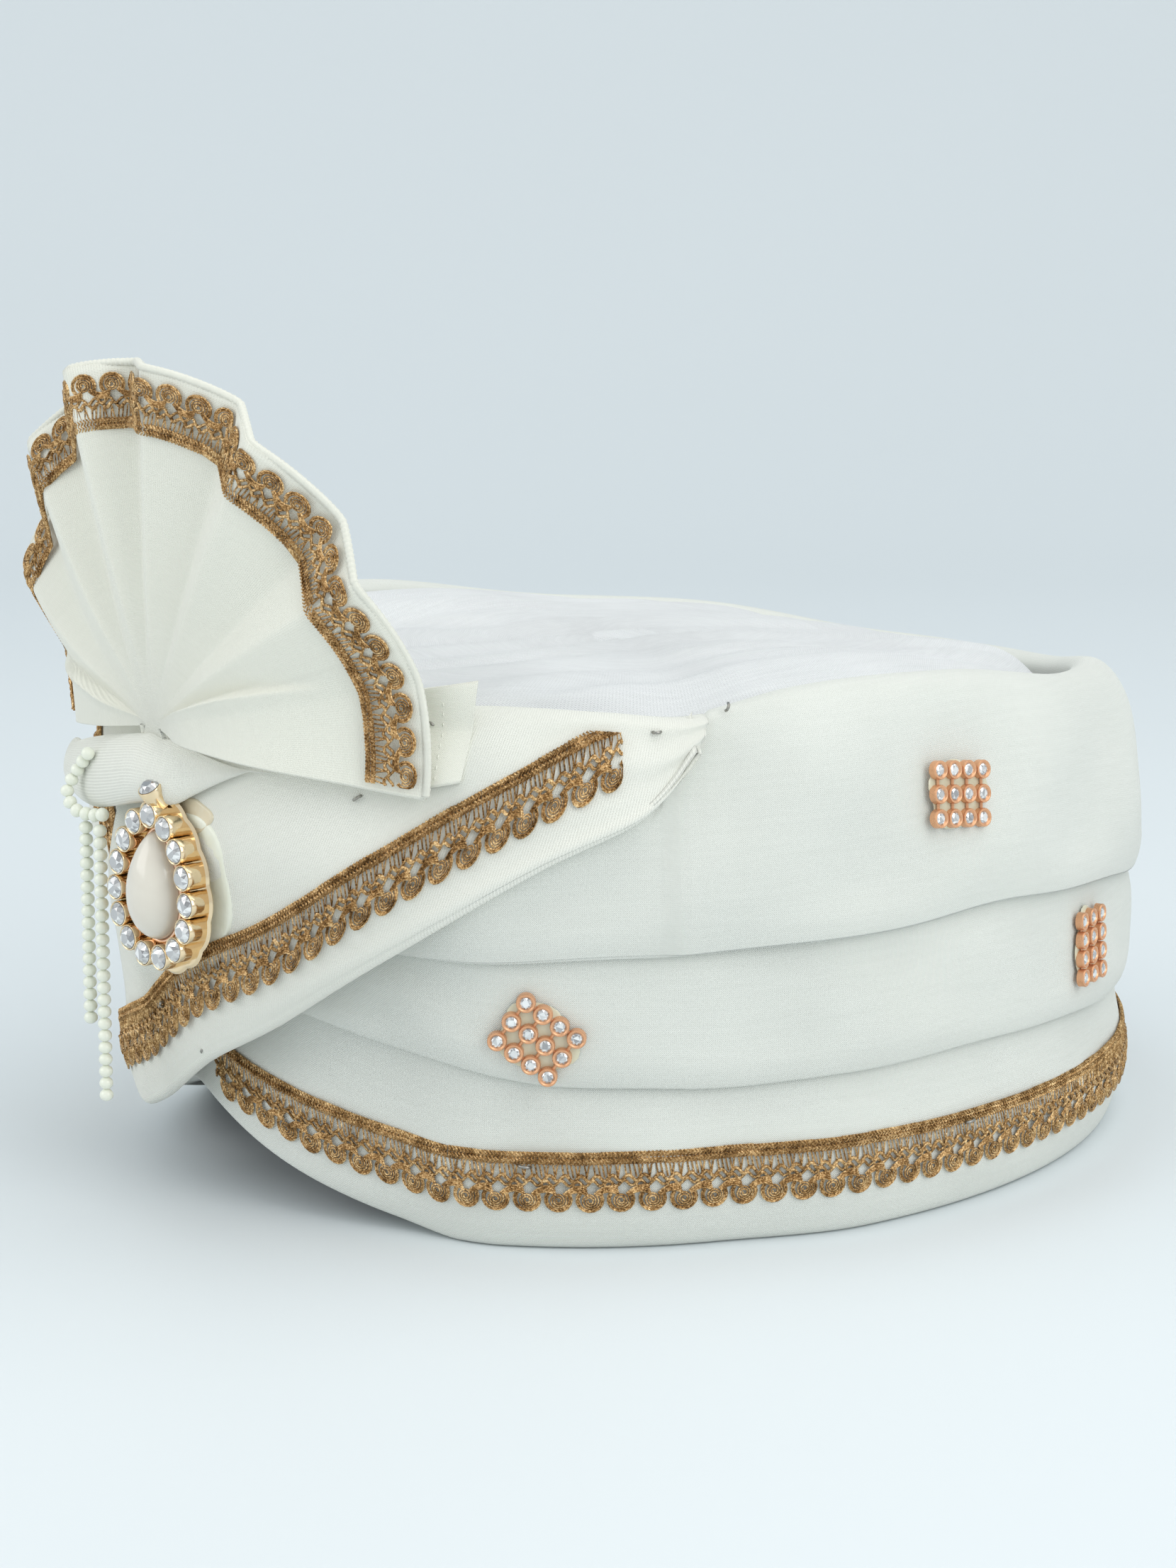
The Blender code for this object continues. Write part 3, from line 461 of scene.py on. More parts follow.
def weave_group():
    """Threads over and under: the product of a sine across and a sine along, unevenly spun."""
    group, entry, leave = new_group(
        "weave",
        [
            ("Vector", "Vector", None),
            ("Across", "Float", 2300.0),
            ("Up", "Float", 2300.0),
            ("Rib", "Float", 0.3),
        ],
        [("Height", "Float"), ("Tone", "Float")],
    )
    apart = node(group, "SeparateXYZ", {0: entry["Vector"]}).outputs
    wander = maths(group, "MULTIPLY", noise(group, entry["Vector"], 320.0, 1.0), 1.6)
    waves = []
    for axis, label in ((0, "Across"), (1, "Up")):
        run = maths(group, "MULTIPLY", apart[axis], entry[label])
        turns = maths(group, "ADD", maths(group, "MULTIPLY", run, TAU), wander)
        waves.append(maths(group, "SINE", turns))
    crossed = maths(group, "MULTIPLY", waves[0], waves[1])
    rib = maths(group, "MULTIPLY", waves[1], entry["Rib"])
    height = maths(group, "ADD", maths(group, "MULTIPLY", crossed, 0.5), rib)
    group.links.new(height, leave["Height"])
    slub = node(group, "Mapping", {"Vector": entry["Vector"], "Scale": (60.0, 900.0, 1.0)}).outputs[0]
    group.links.new(noise(group, slub, 1.0), leave["Tone"])
    return group


def blotch_group():
    """Faint random blotches of tone on the cloth, a few centimetres wide."""
    sockets = [("Vector", "Vector", None), ("Size", "Float", 30.0)]
    group, entry, leave = new_group("tone_blotch", sockets, [("Mask", "Float")])
    blotches = noise(group, entry["Vector"], entry["Size"], 3.0)
    group.links.new(ranged(group, blotches, 0.35, 0.65), leave["Mask"])
    return group


GROUPS = {"weave": weave_group(), "tone_blotch": blotch_group()}


def place_group(tree, name, **links):
    made = tree.nodes.new("ShaderNodeGroup")
    made.node_tree = GROUPS[name]
    for label, source in links.items():
        target = made.inputs[label]
        if isinstance(source, bpy.types.NodeSocket):
            tree.links.new(source, target)
        else:
            target.default_value = source
    return made.outputs


def blend(tree, share, start, end):
    mixed = node(tree, "Mix", {"Factor": share}, data_type="RGBA")
    for label, source in (("A", start), ("B", end)):
        target = [s for s in mixed.inputs if s.name == label and s.type == "RGBA"][0]
        if isinstance(source, bpy.types.NodeSocket):
            tree.links.new(source, target)
        else:
            target.default_value = (*source, 1)
    return [s for s in mixed.outputs if s.type == "RGBA"][0]


def new_material(name, **values):
    made = bpy.data.materials.new(name)
    made.use_nodes = True
    tree = made.node_tree
    shader = tree.nodes["Principled BSDF"]
    for label, value in values.items():
        label = label.replace("_", " ")
        shader.inputs[label].default_value = (*value, 1) if isinstance(value, tuple) else value
    return made, tree, shader


def bump(tree, shader, height, strength, distance):
    made = node(tree, "Bump", {"Height": height, "Strength": strength, "Distance": distance})
    tree.links.new(made.outputs[0], shader.inputs["Normal"])


def woven(name, light, dark, across, up, rib, relief, sheen=0.25):
    """Woven cloth: threads from the weave group on the piece's UV map, toned between two colours: raised
    threads lighter and dips darker as painted shade, with uneven slub and blotch tone.
    """
    made, tree, shader = new_material(name, Roughness=0.85, Sheen_Weight=sheen, Sheen_Roughness=0.5)
    shader.inputs["Specular IOR Level"].default_value = 0.25
    uv = node(tree, "UVMap", uv_map="cloth").outputs[0]
    threads = place_group(tree, "weave", Vector=uv, Across=across, Up=up, Rib=rib)
    spots = place_group(tree, "tone_blotch", Vector=node(tree, "TexCoord").outputs["Object"])
    # Painted shade: the threads' height sets the colour, so the dips between threads are darker.
    lift = ranged(tree, threads["Height"], -0.8, 0.8)
    thread_shade_and_tone = maths(tree, "MULTIPLY", lift, 0.6)
    for part, share in ((threads["Tone"], 0.3), (spots["Mask"], 0.15)):
        thread_shade_and_tone = maths(tree, "ADD", thread_shade_and_tone, maths(tree, "MULTIPLY", part, share))
    tree.links.new(blend(tree, thread_shade_and_tone, dark, light), shader.inputs["Base Color"])
    bump(tree, shader, threads["Height"], 0.5, relief)
    return made


def gold_thread():
    """Gold thread: fine slanted plies toned by noise from painted shade to painted highlight, with stray
    bright glints.
    """
    made, tree, shader = new_material("gold_thread_painted_shade_highlight", Metallic=0.68, Roughness=0.40)
    place = node(tree, "TexCoord").outputs["Object"]
    plies = noise(tree, place, 2600.0)
    patch = maths(tree, "MULTIPLY", noise(tree, place, 420.0), 0.4)
    shade_and_highlight_ramp = node(tree, "ValToRGB", {0: maths(tree, "ADD", maths(tree, "MULTIPLY", plies, 0.7), patch)})
    shade_and_highlight_stops = shade_and_highlight_ramp.color_ramp.elements
    # Painted shade and highlight: the dark stop is shaded thread, the bright stop highlighted thread, both
    # laid by noise.
    shade_and_highlight_stops[0].position, shade_and_highlight_stops[0].color = 0.36, (0.085, 0.040, 0.012, 1)
    shade_and_highlight_stops[1].position, shade_and_highlight_stops[1].color = 0.70, (0.90, 0.65, 0.34, 1)
    middle = shade_and_highlight_stops.new(0.53)
    middle.color = (0.40, 0.225, 0.080, 1)
    tree.links.new(shade_and_highlight_ramp.outputs[0], shader.inputs["Base Color"])
    glints = node(tree, "TexVoronoi", {"Vector": place, "Scale": 1500.0}).outputs["Color"]
    chosen = node(tree, "SeparateColor", {0: glints}).outputs[0]
    tree.links.new(ranged(tree, chosen, 0.80, 0.9, 0.5, 0.16), shader.inputs["Roughness"])
    bump(tree, shader, plies, 0.7, 0.0003)
    return made


def polished(name, colour, roughness, pit=0.15, metallic=1.0):
    """Polished metal: a plain colour with faint waves and a slightly uneven shine."""
    made, tree, shader = new_material(name, Metallic=metallic)
    place = node(tree, "TexCoord").outputs["Object"]
    waves = noise(tree, place, 380.0, 3.0)
    darker = tuple(0.82 * part for part in colour)
    tree.links.new(blend(tree, waves, darker, colour), shader.inputs["Base Color"])
    rough = ranged(tree, waves, 0.0, 1.0, 0.6 * roughness, 1.4 * roughness)
    tree.links.new(rough, shader.inputs["Roughness"])
    bump(tree, shader, waves, pit, 0.0002)
    return made


def cut_stone():
    """Foil-backed clear stone: bright facets, each a random tone from grey to white as painted reflections of
    its surroundings.
    """
    shine = {"Roughness": 0.04, "Metallic": 0.75, "Coat_Weight": 1.0, "Coat_Roughness": 0.02}
    made, tree, shader = new_material("clear_cut_stone", **shine)
    normal = node(tree, "NewGeometry").outputs["True Normal"]
    cells = node(tree, "TexWhiteNoise", {0: normal}, noise_dimensions="3D").outputs["Value"]
    # Painted reflection: each facet's tone stands in for the dark and bright surroundings a cut stone
    # reflects.
    tree.links.new(blend(tree, cells, (0.34, 0.34, 0.35), (1.0, 1.0, 0.99)), shader.inputs["Base Color"])
    return made


def pearly(name, light, dark, roughness):
    """Pearl coating: a soft change of tint from place to place under a clear coat; on the drop pearl the
    darker colour is painted shade from its edges, laid by noise.
    """
    made, tree, shader = new_material(name, Coat_Weight=0.6, Coat_Roughness=0.12, Sheen_Weight=0.2)
    place = node(tree, "TexCoord").outputs["Object"]
    tint = noise(tree, place, 110.0)
    tree.links.new(blend(tree, tint, dark, light), shader.inputs["Base Color"])
    rough = ranged(tree, tint, 0.0, 1.0, 0.8 * roughness, 1.2 * roughness)
    tree.links.new(rough, shader.inputs["Roughness"])
    return made


def glue(name, dark, light):
    """A shiny, slightly lumpy skin between two colours, for dried glue and for the yellow-brown patch by the
    brooch.
    """
    made, tree, shader = new_material(name, Roughness=0.25, Coat_Weight=0.4)
    lumps = noise(tree, node(tree, "TexCoord").outputs["Object"], 400.0, 3.0)
    tree.links.new(blend(tree, lumps, dark, light), shader.inputs["Base Color"])
    bump(tree, shader, lumps, 0.4, 0.0004)
    return made


# Colours in linear light; a woven cloth's two colours, the darker one painted shade in the dips
# between threads, its threads in a metre across and up, its rib and the relief of its threads.
FINISHES = {
    "cloth": woven("off_white_crepe", (0.83, 0.845, 0.79), (0.64, 0.66, 0.61), 2300, 2300, 0.15, 0.00024),
    "wrap": woven("ribbed_crepe", (0.90, 0.905, 0.83), (0.74, 0.745, 0.675), 1500, 2900, 0.55, 0.00022),
    "fan": woven("cream_crepe", (0.88, 0.88, 0.785), (0.76, 0.76, 0.67), 3000, 3000, 0.35, 0.00015, 0.35),
    "mesh": woven("grey_white_mesh", (0.91, 0.93, 0.93), (0.54, 0.55, 0.56), 1500, 2000, 0.2, 0.00030),
    # The lining's very dark grey is partly its own grey and partly painted shade of the turban's inside.
    "lining": woven("grey_lining_with_painted_shade", (0.17, 0.17, 0.18), (0.07, 0.07, 0.08), 1200, 1200, 0.1, 0.0003),
    "thread": gold_thread(),
    "gilt": polished("pale_gilt", (0.95, 0.76, 0.50), 0.14),
    "rose": polished("rose_gilt", (0.93, 0.60, 0.42), 0.2),
    "copper": polished("copper_coloured", (0.83, 0.44, 0.24), 0.28, 0.15, 0.55),
    "stone": cut_stone(),
    # The drop pearl's darker colour is painted shade, the tone of its shaded edges, spread at random by
    # noise.
    "pearl": pearly("cream_pearl_painted_shade", (0.79, 0.76, 0.67), (0.66, 0.60, 0.51), 0.16),
    "bead": pearly("pale_green_pearl", (0.88, 0.90, 0.79), (0.79, 0.82, 0.69), 0.3),
    "glue": glue("dried_glue", (0.60, 0.56, 0.38), (0.74, 0.73, 0.58)),
    "film": glue("pale_glue_film", (0.76, 0.77, 0.63), (0.85, 0.86, 0.76)),
    # Colours of the yellow-brown patch by the brooch.
    "yellow_brown": glue("yellow_brown_patch", (0.66, 0.56, 0.38), (0.76, 0.70, 0.54)),
    "pin": polished("grey_pin", (0.38, 0.37, 0.34), 0.35),
}


# Wrapped bands


FOLD = 0.0007
FLAP = 0.006
ROLL, ROLL_HEIGHT = 0.0012, 0.007
SHEET, HEM_SHEET = 0.0007, 0.0016


def rolled(above):
    """How far a folded edge draws in: a parabola of the height left above it, up to ROLL_HEIGHT."""
    return ROLL * (1 - np.clip(above / ROLL_HEIGHT, 0, 1)) ** 2


def folded_sheet(angle, low, rows, place):
    """The rows of a sheet with a folded lower edge.

    Up the hidden flap's back, a half circle of radius FOLD under the edge, then the shown rows.
    rows(share) gives the height for a share of the way up; place(angle, height, inset) the point.
    """
    flap = [place(angle, low + FOLD + FLAP * part, 2 * FOLD) for part in (1.0, 0.5, 0.1)]
    bend = [
        place(angle, low + FOLD * (1 - np.sin(turn)), FOLD * (1 + np.cos(turn)))
        for turn in np.linspace(0, np.pi, 9)
    ]
    face = [place(angle, rows(share), 0.0) for share in np.linspace(0, 1, 34)[1:]]
    return np.stack(flap + bend + face)


def lower_band():
    angle = np.linspace(0, 360, 361)[:-1]
    low, above = arch(angle), edge(MIDDLE_EDGE, angle)
    high = above + np.minimum(OVERLAP, 0.42 * (edge(TOP_EDGE, angle) - above))
    turn = [(0.0, 1.0), (0.0, 0.7), (0.0, 0.4), (0.0, 0.22), (0.0002, 0.12)]
    turn += [(0.0007, 0.045), (0.0014, 0.01), (0.0024, 0.0)]
    rows = []
    for rise, share in turn:
        height = low + rise
        rows.append(wall(angle, height, seat(angle) + LOWER_INSET + HEM_TURN * share))
    start = low + turn[-1][0]
    for share in np.linspace(0, 1, 30)[1:]:
        height = mix(start, high, share)
        soft = 0.0005 * np.sin(np.pi * share) * drape(angle, height, 5)
        rows.append(wall(angle, height, lower_depth(angle, height) + soft))
    points = np.stack(rows)
    add_cloth("lower_band_cloth", points, "cloth", "lower_band", HEM_SHEET, True)


def middle_band():
    angle = np.linspace(10, 350, 341)
    low = edge(MIDDLE_EDGE, angle) + 0.0004 * drape(angle, 0 * angle, 11, 30)
    high = edge(TOP_EDGE, angle) + OVERLAP

    def place(angle, height, inset):
        puff = 0.0007 * fade(height - low, 0, 0.010) * fade(high - height, 0.008, 0.016)
        drawn = rolled(height - low) + inset + puff * drape(angle, height, 12)
        return wall(angle, height, middle_depth(angle, height) + drawn)

    points = folded_sheet(angle, low, lambda share: mix(low + FOLD, high, share), place)
    add_cloth("middle_band_cloth", points, "cloth", "middle_band", SHEET)


def top_band():
    """The face as a folded sheet, then over the rim: rows read smoothly along the source's table."""
    angle = np.linspace(20, 340, 321)
    away = from_front(angle)
    folded = fade(away, WRAP_END - 6, WRAP_END - 2)
    under_wrap = np.minimum(wrap_edge(away) + OVERLAP, rim(angle) - CAP_DROP)
    top = rim(angle) - WRAP_OVER * fade(away, WRAP_END + 1, WRAP_END - 2)
    low = edge(TOP_EDGE, angle) + 0.0005 * drape(angle, 0 * angle, 21, 34)
    upper = mix(under_wrap, top, folded)
    table = by_row(TOP_SECTIONS)
    seated = seat(angle) * fade(away, 78, 60)

    def row(place):
        up = read(table, 1, np.full_like(angle, place))
        flat = read(table, 2, np.full_like(angle, place))
        height = mix(low, upper, mix(flat, up, folded))
        fold = np.clip(read(table, 3, np.full_like(angle, place)), 0, 1) * folded
        soft = fade(height - low, 0.0, 0.012) * fade(place, 3.6, 2.0)
        dents = 0.0009 * soft * drape(angle, height, 22, 30, 0.04)
        return wall(angle, height, mix(seated, RIM_ROLL, fold) + rolled(height - low) + dents)

    bend = []
    for part in (1.0, 0.5, 0.1):
        bend.append(wall(angle, low + FOLD + FLAP * part, seated + ROLL + 2 * FOLD))
    for turn in np.linspace(0, np.pi, 9):
        bend.append(wall(angle, low + FOLD * (1 - np.sin(turn)), seated + ROLL + FOLD * (1 + np.cos(turn))))
    face = [row(place) for place in np.concatenate([np.linspace(0.75, 2.6, 26), np.linspace(2.7, 6, 26)])]
    points = np.stack(bend + face)
    add_cloth("top_band_cloth", points, "cloth", "top_band", SHEET)


def crown_point(angle, reach, tuck, rise, lower=0.0):
    middle = RIM_HEIGHT * EDGES[:, RIM].mean()
    level = mix(middle, rim(angle), reach**1.5)
    ring = wall(angle, rim(angle), lower + RIM_ROLL + CLEAR + GAP - CROWN_TUCK * tuck)
    return point(ring[..., 0] * reach, (ring[..., 1] - BACK) * reach, level + CROWN_DROP * rise - lower)


def crown_cloth():
    """Mesh cloth over the crown: the source's sections read smoothly, with soft radial pulls."""
    angle = np.linspace(0, 360, 241)[:-1]
    table = by_row(CROWN_SECTIONS)
    rows = []
    for place in np.concatenate([np.linspace(0, 2, 9), np.linspace(2.2, 4.85, 30)]):
        reach, tuck, rise = (float(read(table, column, place)) for column in (1, 2, 3))
        made = crown_point(angle, reach, tuck, rise)
        soft = 0.0010 * fade(place, 1.5, 3.0) * drape(1800 * made[..., 0], made[..., 1], 31, 40, 0.05)
        made[..., 2] += soft - 0.0006
        rows.append(made)
    points = np.stack(rows)
    mesh = surface("crown_mesh_cloth", points, True, "last")
    made = add_piece("crown_mesh_cloth", mesh, FINISHES["mesh"], ["crown_cloth"])
    thicken(made, 0.0008)
    flat_size(points)


def inner_cap():
    """The padded cap: down its inside, round its foot, up its outside and over the crown."""
    angle = np.linspace(0, 360, 181)[:-1]
    under = CROWN_CLOTH + CLEAR
    ceiling = ((0.03, 0.28), (0.3, 0.3), (0.55, 0.3))
    rows = [crown_point(angle, reach, 0, rise, under + CAP_CROWN) for reach, rise in ceiling]
    steep = 1 + 0.6 * fade(from_front(angle), ARCH_ANGLE, ARCH_ANGLE / 2)
    foot = arch(angle) + steep * (CLOTH + CLEAR)
    walls = [(1, 0.92), (1, 0.5), (1, 0.12), (0.97, 0.03), (0.86, 0.0), (0.5, -0.01)]
    walls += [(0.14, 0.0), (0.02, 0.03), (0, 0.12), (0, 0.22), (0, 0.5), (0, 0.97)]
    for inner, up in walls:
        height = mix(foot, rim(angle) - CAP_DROP, up)
        rows.append(wall(angle, height, cap_depth(angle) + CAP_WALL * inner))
    for reach, _, rise in CROWN_SECTIONS[1:-1]:
        rows.append(crown_point(angle, reach, 0, rise, under))
    rows.append(crown_point(angle, 0.03, 0, 0.28, under))
    points = np.stack(rows)
    mesh = surface("cap_lining", points, True, "first last")
    made = add_piece("cap_lining", mesh, FINISHES["lining"], ["inner_cap"])


# Front wraps, knot


def wrap_low(side, angle):
    """A wrap's lower edge: the left one rounds up to its tip; the right one's hidden end is raised."""
    if side == "left":
        return wrap_edge(angle) + WRAP_TIP_RISE * fade(angle, WRAP_CROSS + 10, WRAP_CROSS) ** 1.5
    return wrap_edge(angle) + WRAP_HIDDEN_RISE * fade(angle, WRAP_HIDDEN + 7, WRAP_HIDDEN)


def wrap_soft(angle, height, up):
    """How deep the pulls that fan from the knot, and softer dents, press into a wrap."""
    pull = np.sin(9.0 * np.radians(angle + 4) + 14 * up) * fade(up, 0.25, 0.6) * fade(up, 1.0, 0.85)
    return 0.0005 * pull + 0.0006 * fade(up, 0.1, 0.4) * fade(up, 1, 0.9) * drape(angle, height, 43, 30, 0.05)


def wrap_point(side, angle, height, depth):
    under = 0 if side == "left" else under_left(angle)
    made = wall(angle, height, WRAP_UNDER * under + depth)
    if side == "right":
        made[..., 0] *= -1
    return made


def front_wrap(side):
    """The source's wrap on a fine grid, with a folded lower edge and pulls that fan from the knot."""
    left = side == "left"
    share = np.linspace(0, 1, 170 if left else 120)
    start = WRAP_CROSS if left else WRAP_HIDDEN
    top_start = -9 if left else -4
    low_angle = mix(start, WRAP_END - 1.5, share)
    low = wrap_low(side, low_angle) + 0.0004 * drape(low_angle, 0 * share, 41, 24)
    low = low + 0.009 * fade(share, 0.90, 1.04) ** 2
    table = by_row(WRAP_SECTIONS)
    fold = 0.0018

    def row(up, depth, drop=0.0):
        angle = mix(low_angle, mix(top_start, WRAP_END, share), np.clip(up, 0, 1))
        under = 0 if left else under_left(angle)
        height = mix(low, rim(angle) - WRAP_LOWER_RIM * under, up) + drop
        shown = 1 - under if depth < 0 else 1
        soft = wrap_soft(angle, height, up) * (1 - under)
        return wrap_point(side, angle, height, WRAP_ROLL * depth * shown + soft)

    rows = [row(0.0, -0.03 + 2 * fold / WRAP_ROLL, fold + FLAP * part) for part in (1.0, 0.5, 0.1)]
    for turn in np.linspace(0, np.pi, 10):
        rows.append(row(0.0, -0.03 + fold * (1 + np.cos(turn)) / WRAP_ROLL, fold * (1 - np.sin(turn))))
    for place in np.concatenate([np.linspace(1.35, 6, 40), np.linspace(6.1, 8, 12)]):
        up, depth = (float(read(table, column, place)) for column in (1, 2))
        rows.append(row(up, depth))
    points = np.stack(rows)
    if not left:
        points = points[:, ::-1]
    solid = f"front_wrap_{side}"
    add_cloth(solid + "_cloth", points, "wrap", solid, SHEET)


def front_knot():
    """A drawn-out ball along the front that tapers past the brooch to a low fold.

    Its top follows the fan's lower edges; its lower edge rises from the brooch to the fold's end.
    """
    along = np.cos(np.linspace(0.02, np.pi - 0.02, 90))
    turn = np.linspace(0, TAU, 73)[:-1]
    along, turn = np.meshgrid(along, turn, indexing="ij")
    round_ = np.sqrt(1 - along**2)
    gathers = 1 + 0.03 * np.sin(3 * turn + 3 * along) * fade(np.abs(along), 1.0, 0.6)
    up, out = np.clip(round_ * np.sin(turn) * gathers, -1, 1), np.clip(round_ * np.cos(turn) * gathers, -1, 1)
    angle = KNOT_ANGLE + KNOT_HALF_ANGLE * along
    brooch = np.degrees(BROOCH_X / HALF_WIDTH)
    pinch = 1 - 0.4 * KNOT_PINCH * np.exp(-(((angle - brooch) / KNOT_PINCH_ANGLE) ** 2))
    taper = fade(angle, KNOT_TAPER_START, KNOT_TAPER_END)
    low = KNOT_TOP - KNOT_TALL * pinch * mix(1, KNOT_TAPER_LEFT, taper)
    sideways = np.radians(angle) * HALF_WIDTH
    crease = KNOT_CREASE[1] + (sideways - KNOT_CREASE[0]) * KNOT_CREASE[2]
    low = mix(low, np.minimum(crease, KNOT_TOP - 0.001), fade(angle, -1, 3))
    top = FAN_FOOT[2] - 0.0012 - 0.167 * np.abs(sideways - FAN_FOOT[0])
    top = np.maximum(mix(KNOT_TOP, top, fade(np.abs(along), 1.0, 0.7)), low + 0.0012)
    proud = KNOT_PROUD * mix(1, 0.5, taper) * mix(1, 0.35, fade(angle, -4, 5))
    points = wall(angle, mix(low, top, (1 + up) / 2), -2 * GAP - proud * (1 + out) / 2)
    mesh = surface("front_knot_cloth", points, True, "first last")
    made = add_piece("front_knot_cloth", mesh, FINISHES["wrap"], ["front_knot"])


# Fan


def smoothed(values, reach):
    """Each value averaged with its neighbours, weighted by a bell curve."""
    steps = np.arange(-3 * reach, 3 * reach + 1)
    bell = np.exp(-0.5 * (steps / reach) ** 2)
    padded = np.pad(values, 3 * reach, mode="edge")
    return np.convolve(padded, bell / bell.sum(), mode="valid")


FAN_STEPS = 420
ACROSS = np.linspace(0, 1, FAN_STEPS + 1)


def fan_lines():
    """Angle, reach, tilt and bend at each fine column, with the folds' ridges slightly rounded."""
    place = (2 * ACROSS - 1) * (len(FAN_FOLDS) - 1)
    i = np.minimum(np.abs(place).astype(int), len(FAN_FOLDS) - 2)
    part = np.abs(place) - i
    angle, reach, tilt, bend = (mix(FAN_FOLDS[i, c], FAN_FOLDS[i + 1, c], part) for c in range(4))
    spread = FAN_FOLDS[-1, 0]
    turn = FAN_TURN * (1 - (angle / spread) ** 4) + np.where(place > 0, angle, -angle)
    return np.radians(turn), smoothed(reach, 4), np.radians(smoothed(tilt, 2)), smoothed(bend, 5)


FAN_LINES = fan_lines()


def fan_point(across, radius_share, proud=0.0, extra=0.0):
    """A point of the fan: out along a line at its turn, tilted forwards, bent back round the body."""
    across, share, proud = np.broadcast_arrays(np.asarray(across, float), radius_share, proud)
    turn, reach, tilt, curve = (np.interp(across, ACROSS, line) for line in FAN_LINES)
    radius = mix(FAN_START, FAN_RADIUS * reach, share) + extra
    lean = tilt * fade(radius, 0, FAN_RADIUS / 3)
    flat = radius * np.cos(lean)
    bend = FAN_BEND / curve
    back = (FAN_FOOT[0] + flat * np.sin(turn)) / bend
    forward = radius * np.sin(lean) + proud
    return point(
        (bend + forward) * np.sin(back),
        FAN_FOOT[1] + bend - (bend + forward) * np.cos(back),
        FAN_FOOT[2] + flat * np.cos(turn),
    )


def lapped(across, share):
    """How far the lowest folds lap forwards near the foot, where they overlap before they open."""
    total = 0
    for side in (1, -1):
        middle = 0.5 + side * (0.388 + 0.052 * share**1.5)
        step = fade(side * (across - middle), -0.006, 0.004)
        total = total + 0.0040 * step * fade(share, 0.80, 0.35) * fade(share, 0.0, 0.2)
    return total


def fan():
    across = ACROSS[None, :]
    shares = np.linspace(0, 1, 46)[:, None]
    sag = 0.0007 * drape(200 * across, 0.05 * shares, 51, 40, 0.05) * fade(shares, 0.15, 0.5)
    points = fan_point(across, shares, lapped(across, shares) + sag)
    stem = point(FAN_FOOT[0] + FAN_STEM * (2 * ACROSS - 1), FAN_FOOT[1] + FAN_CLOTH, KNOT_TOP + GAP)
    between = mix(stem, points[0], 0.5)
    points = np.concatenate([stem[None], between[None], points])
    add_cloth("fan_cloth", points, "fan", "fan", FAN_CLOTH, False, 60)


def fan_edge():
    """The corded edge: a ribbed roll of cloth along the fan's outline, thicker at each stitch."""
    across = np.linspace(0.002, 0.998, 700)
    path = fan_point(across, 1.0, -0.5 * FAN_CLOTH)
    run = run_along(path)
    way = np.gradient(path, axis=0)
    way /= np.linalg.norm(way, axis=1, keepdims=True)
    out = path - point(FAN_FOOT[0], FAN_FOOT[1], FAN_FOOT[2])
    out -= way * (out * way).sum(axis=1, keepdims=True)
    out /= np.linalg.norm(out, axis=1, keepdims=True)
    side = np.cross(way, out)
    turn = TAU * np.arange(8) / 8
    size = 0.00085 * (1 + 0.10 * np.sin(TAU * run / 0.0011))[:, None, None]
    outwards, sideways = np.cos(turn)[None, :, None], np.sin(turn)[None, :, None]
    ring = path[:, None] + size * (outwards * out[:, None] + sideways * side[:, None])
    mesh = surface("fan_edge_roll", ring, True, "first last")
    add_piece("fan_edge_roll", mesh, FINISHES["fan"])


def fan_end(side):
    """The fan's end folded back on itself: a flat strip with a rounded fold and a row of stitches."""
    sign = 1 if side == "left" else -1
    share = np.linspace(0, 1, 30)
    rows = []
    for up in np.linspace(0, 1, 30):
        angle = FAN_END_ANGLE + FAN_END_WIDTH * mix(0.74, 1.0, up) * (share - 0.5) - 0.5 * (1 - up)
        slant = 0.0012 * share * (1 - up) - 0.0016 * (1 - share) * up
        height = rim(angle) + FAN_END_HEIGHT * (up - FAN_END_DOWN) + slant
        swell = 0.5 * FAN_END_PROUD * np.sin(np.pi * share) + 0.0004 * np.sin(7 * up + 2 * share)
        made = wall(angle, np.minimum(height, 0.97 * rim(angle)), -FAN_END_PROUD - swell)
        made[..., 2] = height
        made[..., 0] *= sign
        rows.append(made)
    points = np.stack(rows)
    if side == "right":
        points = points[:, ::-1]
    solid = f"fan_end_{side}"
    add_cloth(solid + "_cloth", points, "fan", solid, FAN_CLOTH)
    rows, columns = points.shape[:2]
    line = points[2:-2, int(0.42 * columns)]
    out = line - point(0, 0, 0)
    out[:, 2] = 0
    out /= np.linalg.norm(out, axis=1, keepdims=True)
    parts = []
    for start in range(0, len(line) - 2, 3):
        parts.append(tube(line[start : start + 2] + 0.00006 * out[start : start + 2], 0.00012, 5))
    mesh = new_mesh(f"fan_end_stitches_{side}", *joined(parts))
    add_piece(f"fan_end_stitches_{side}", mesh, FINISHES["fan"])


# Lace


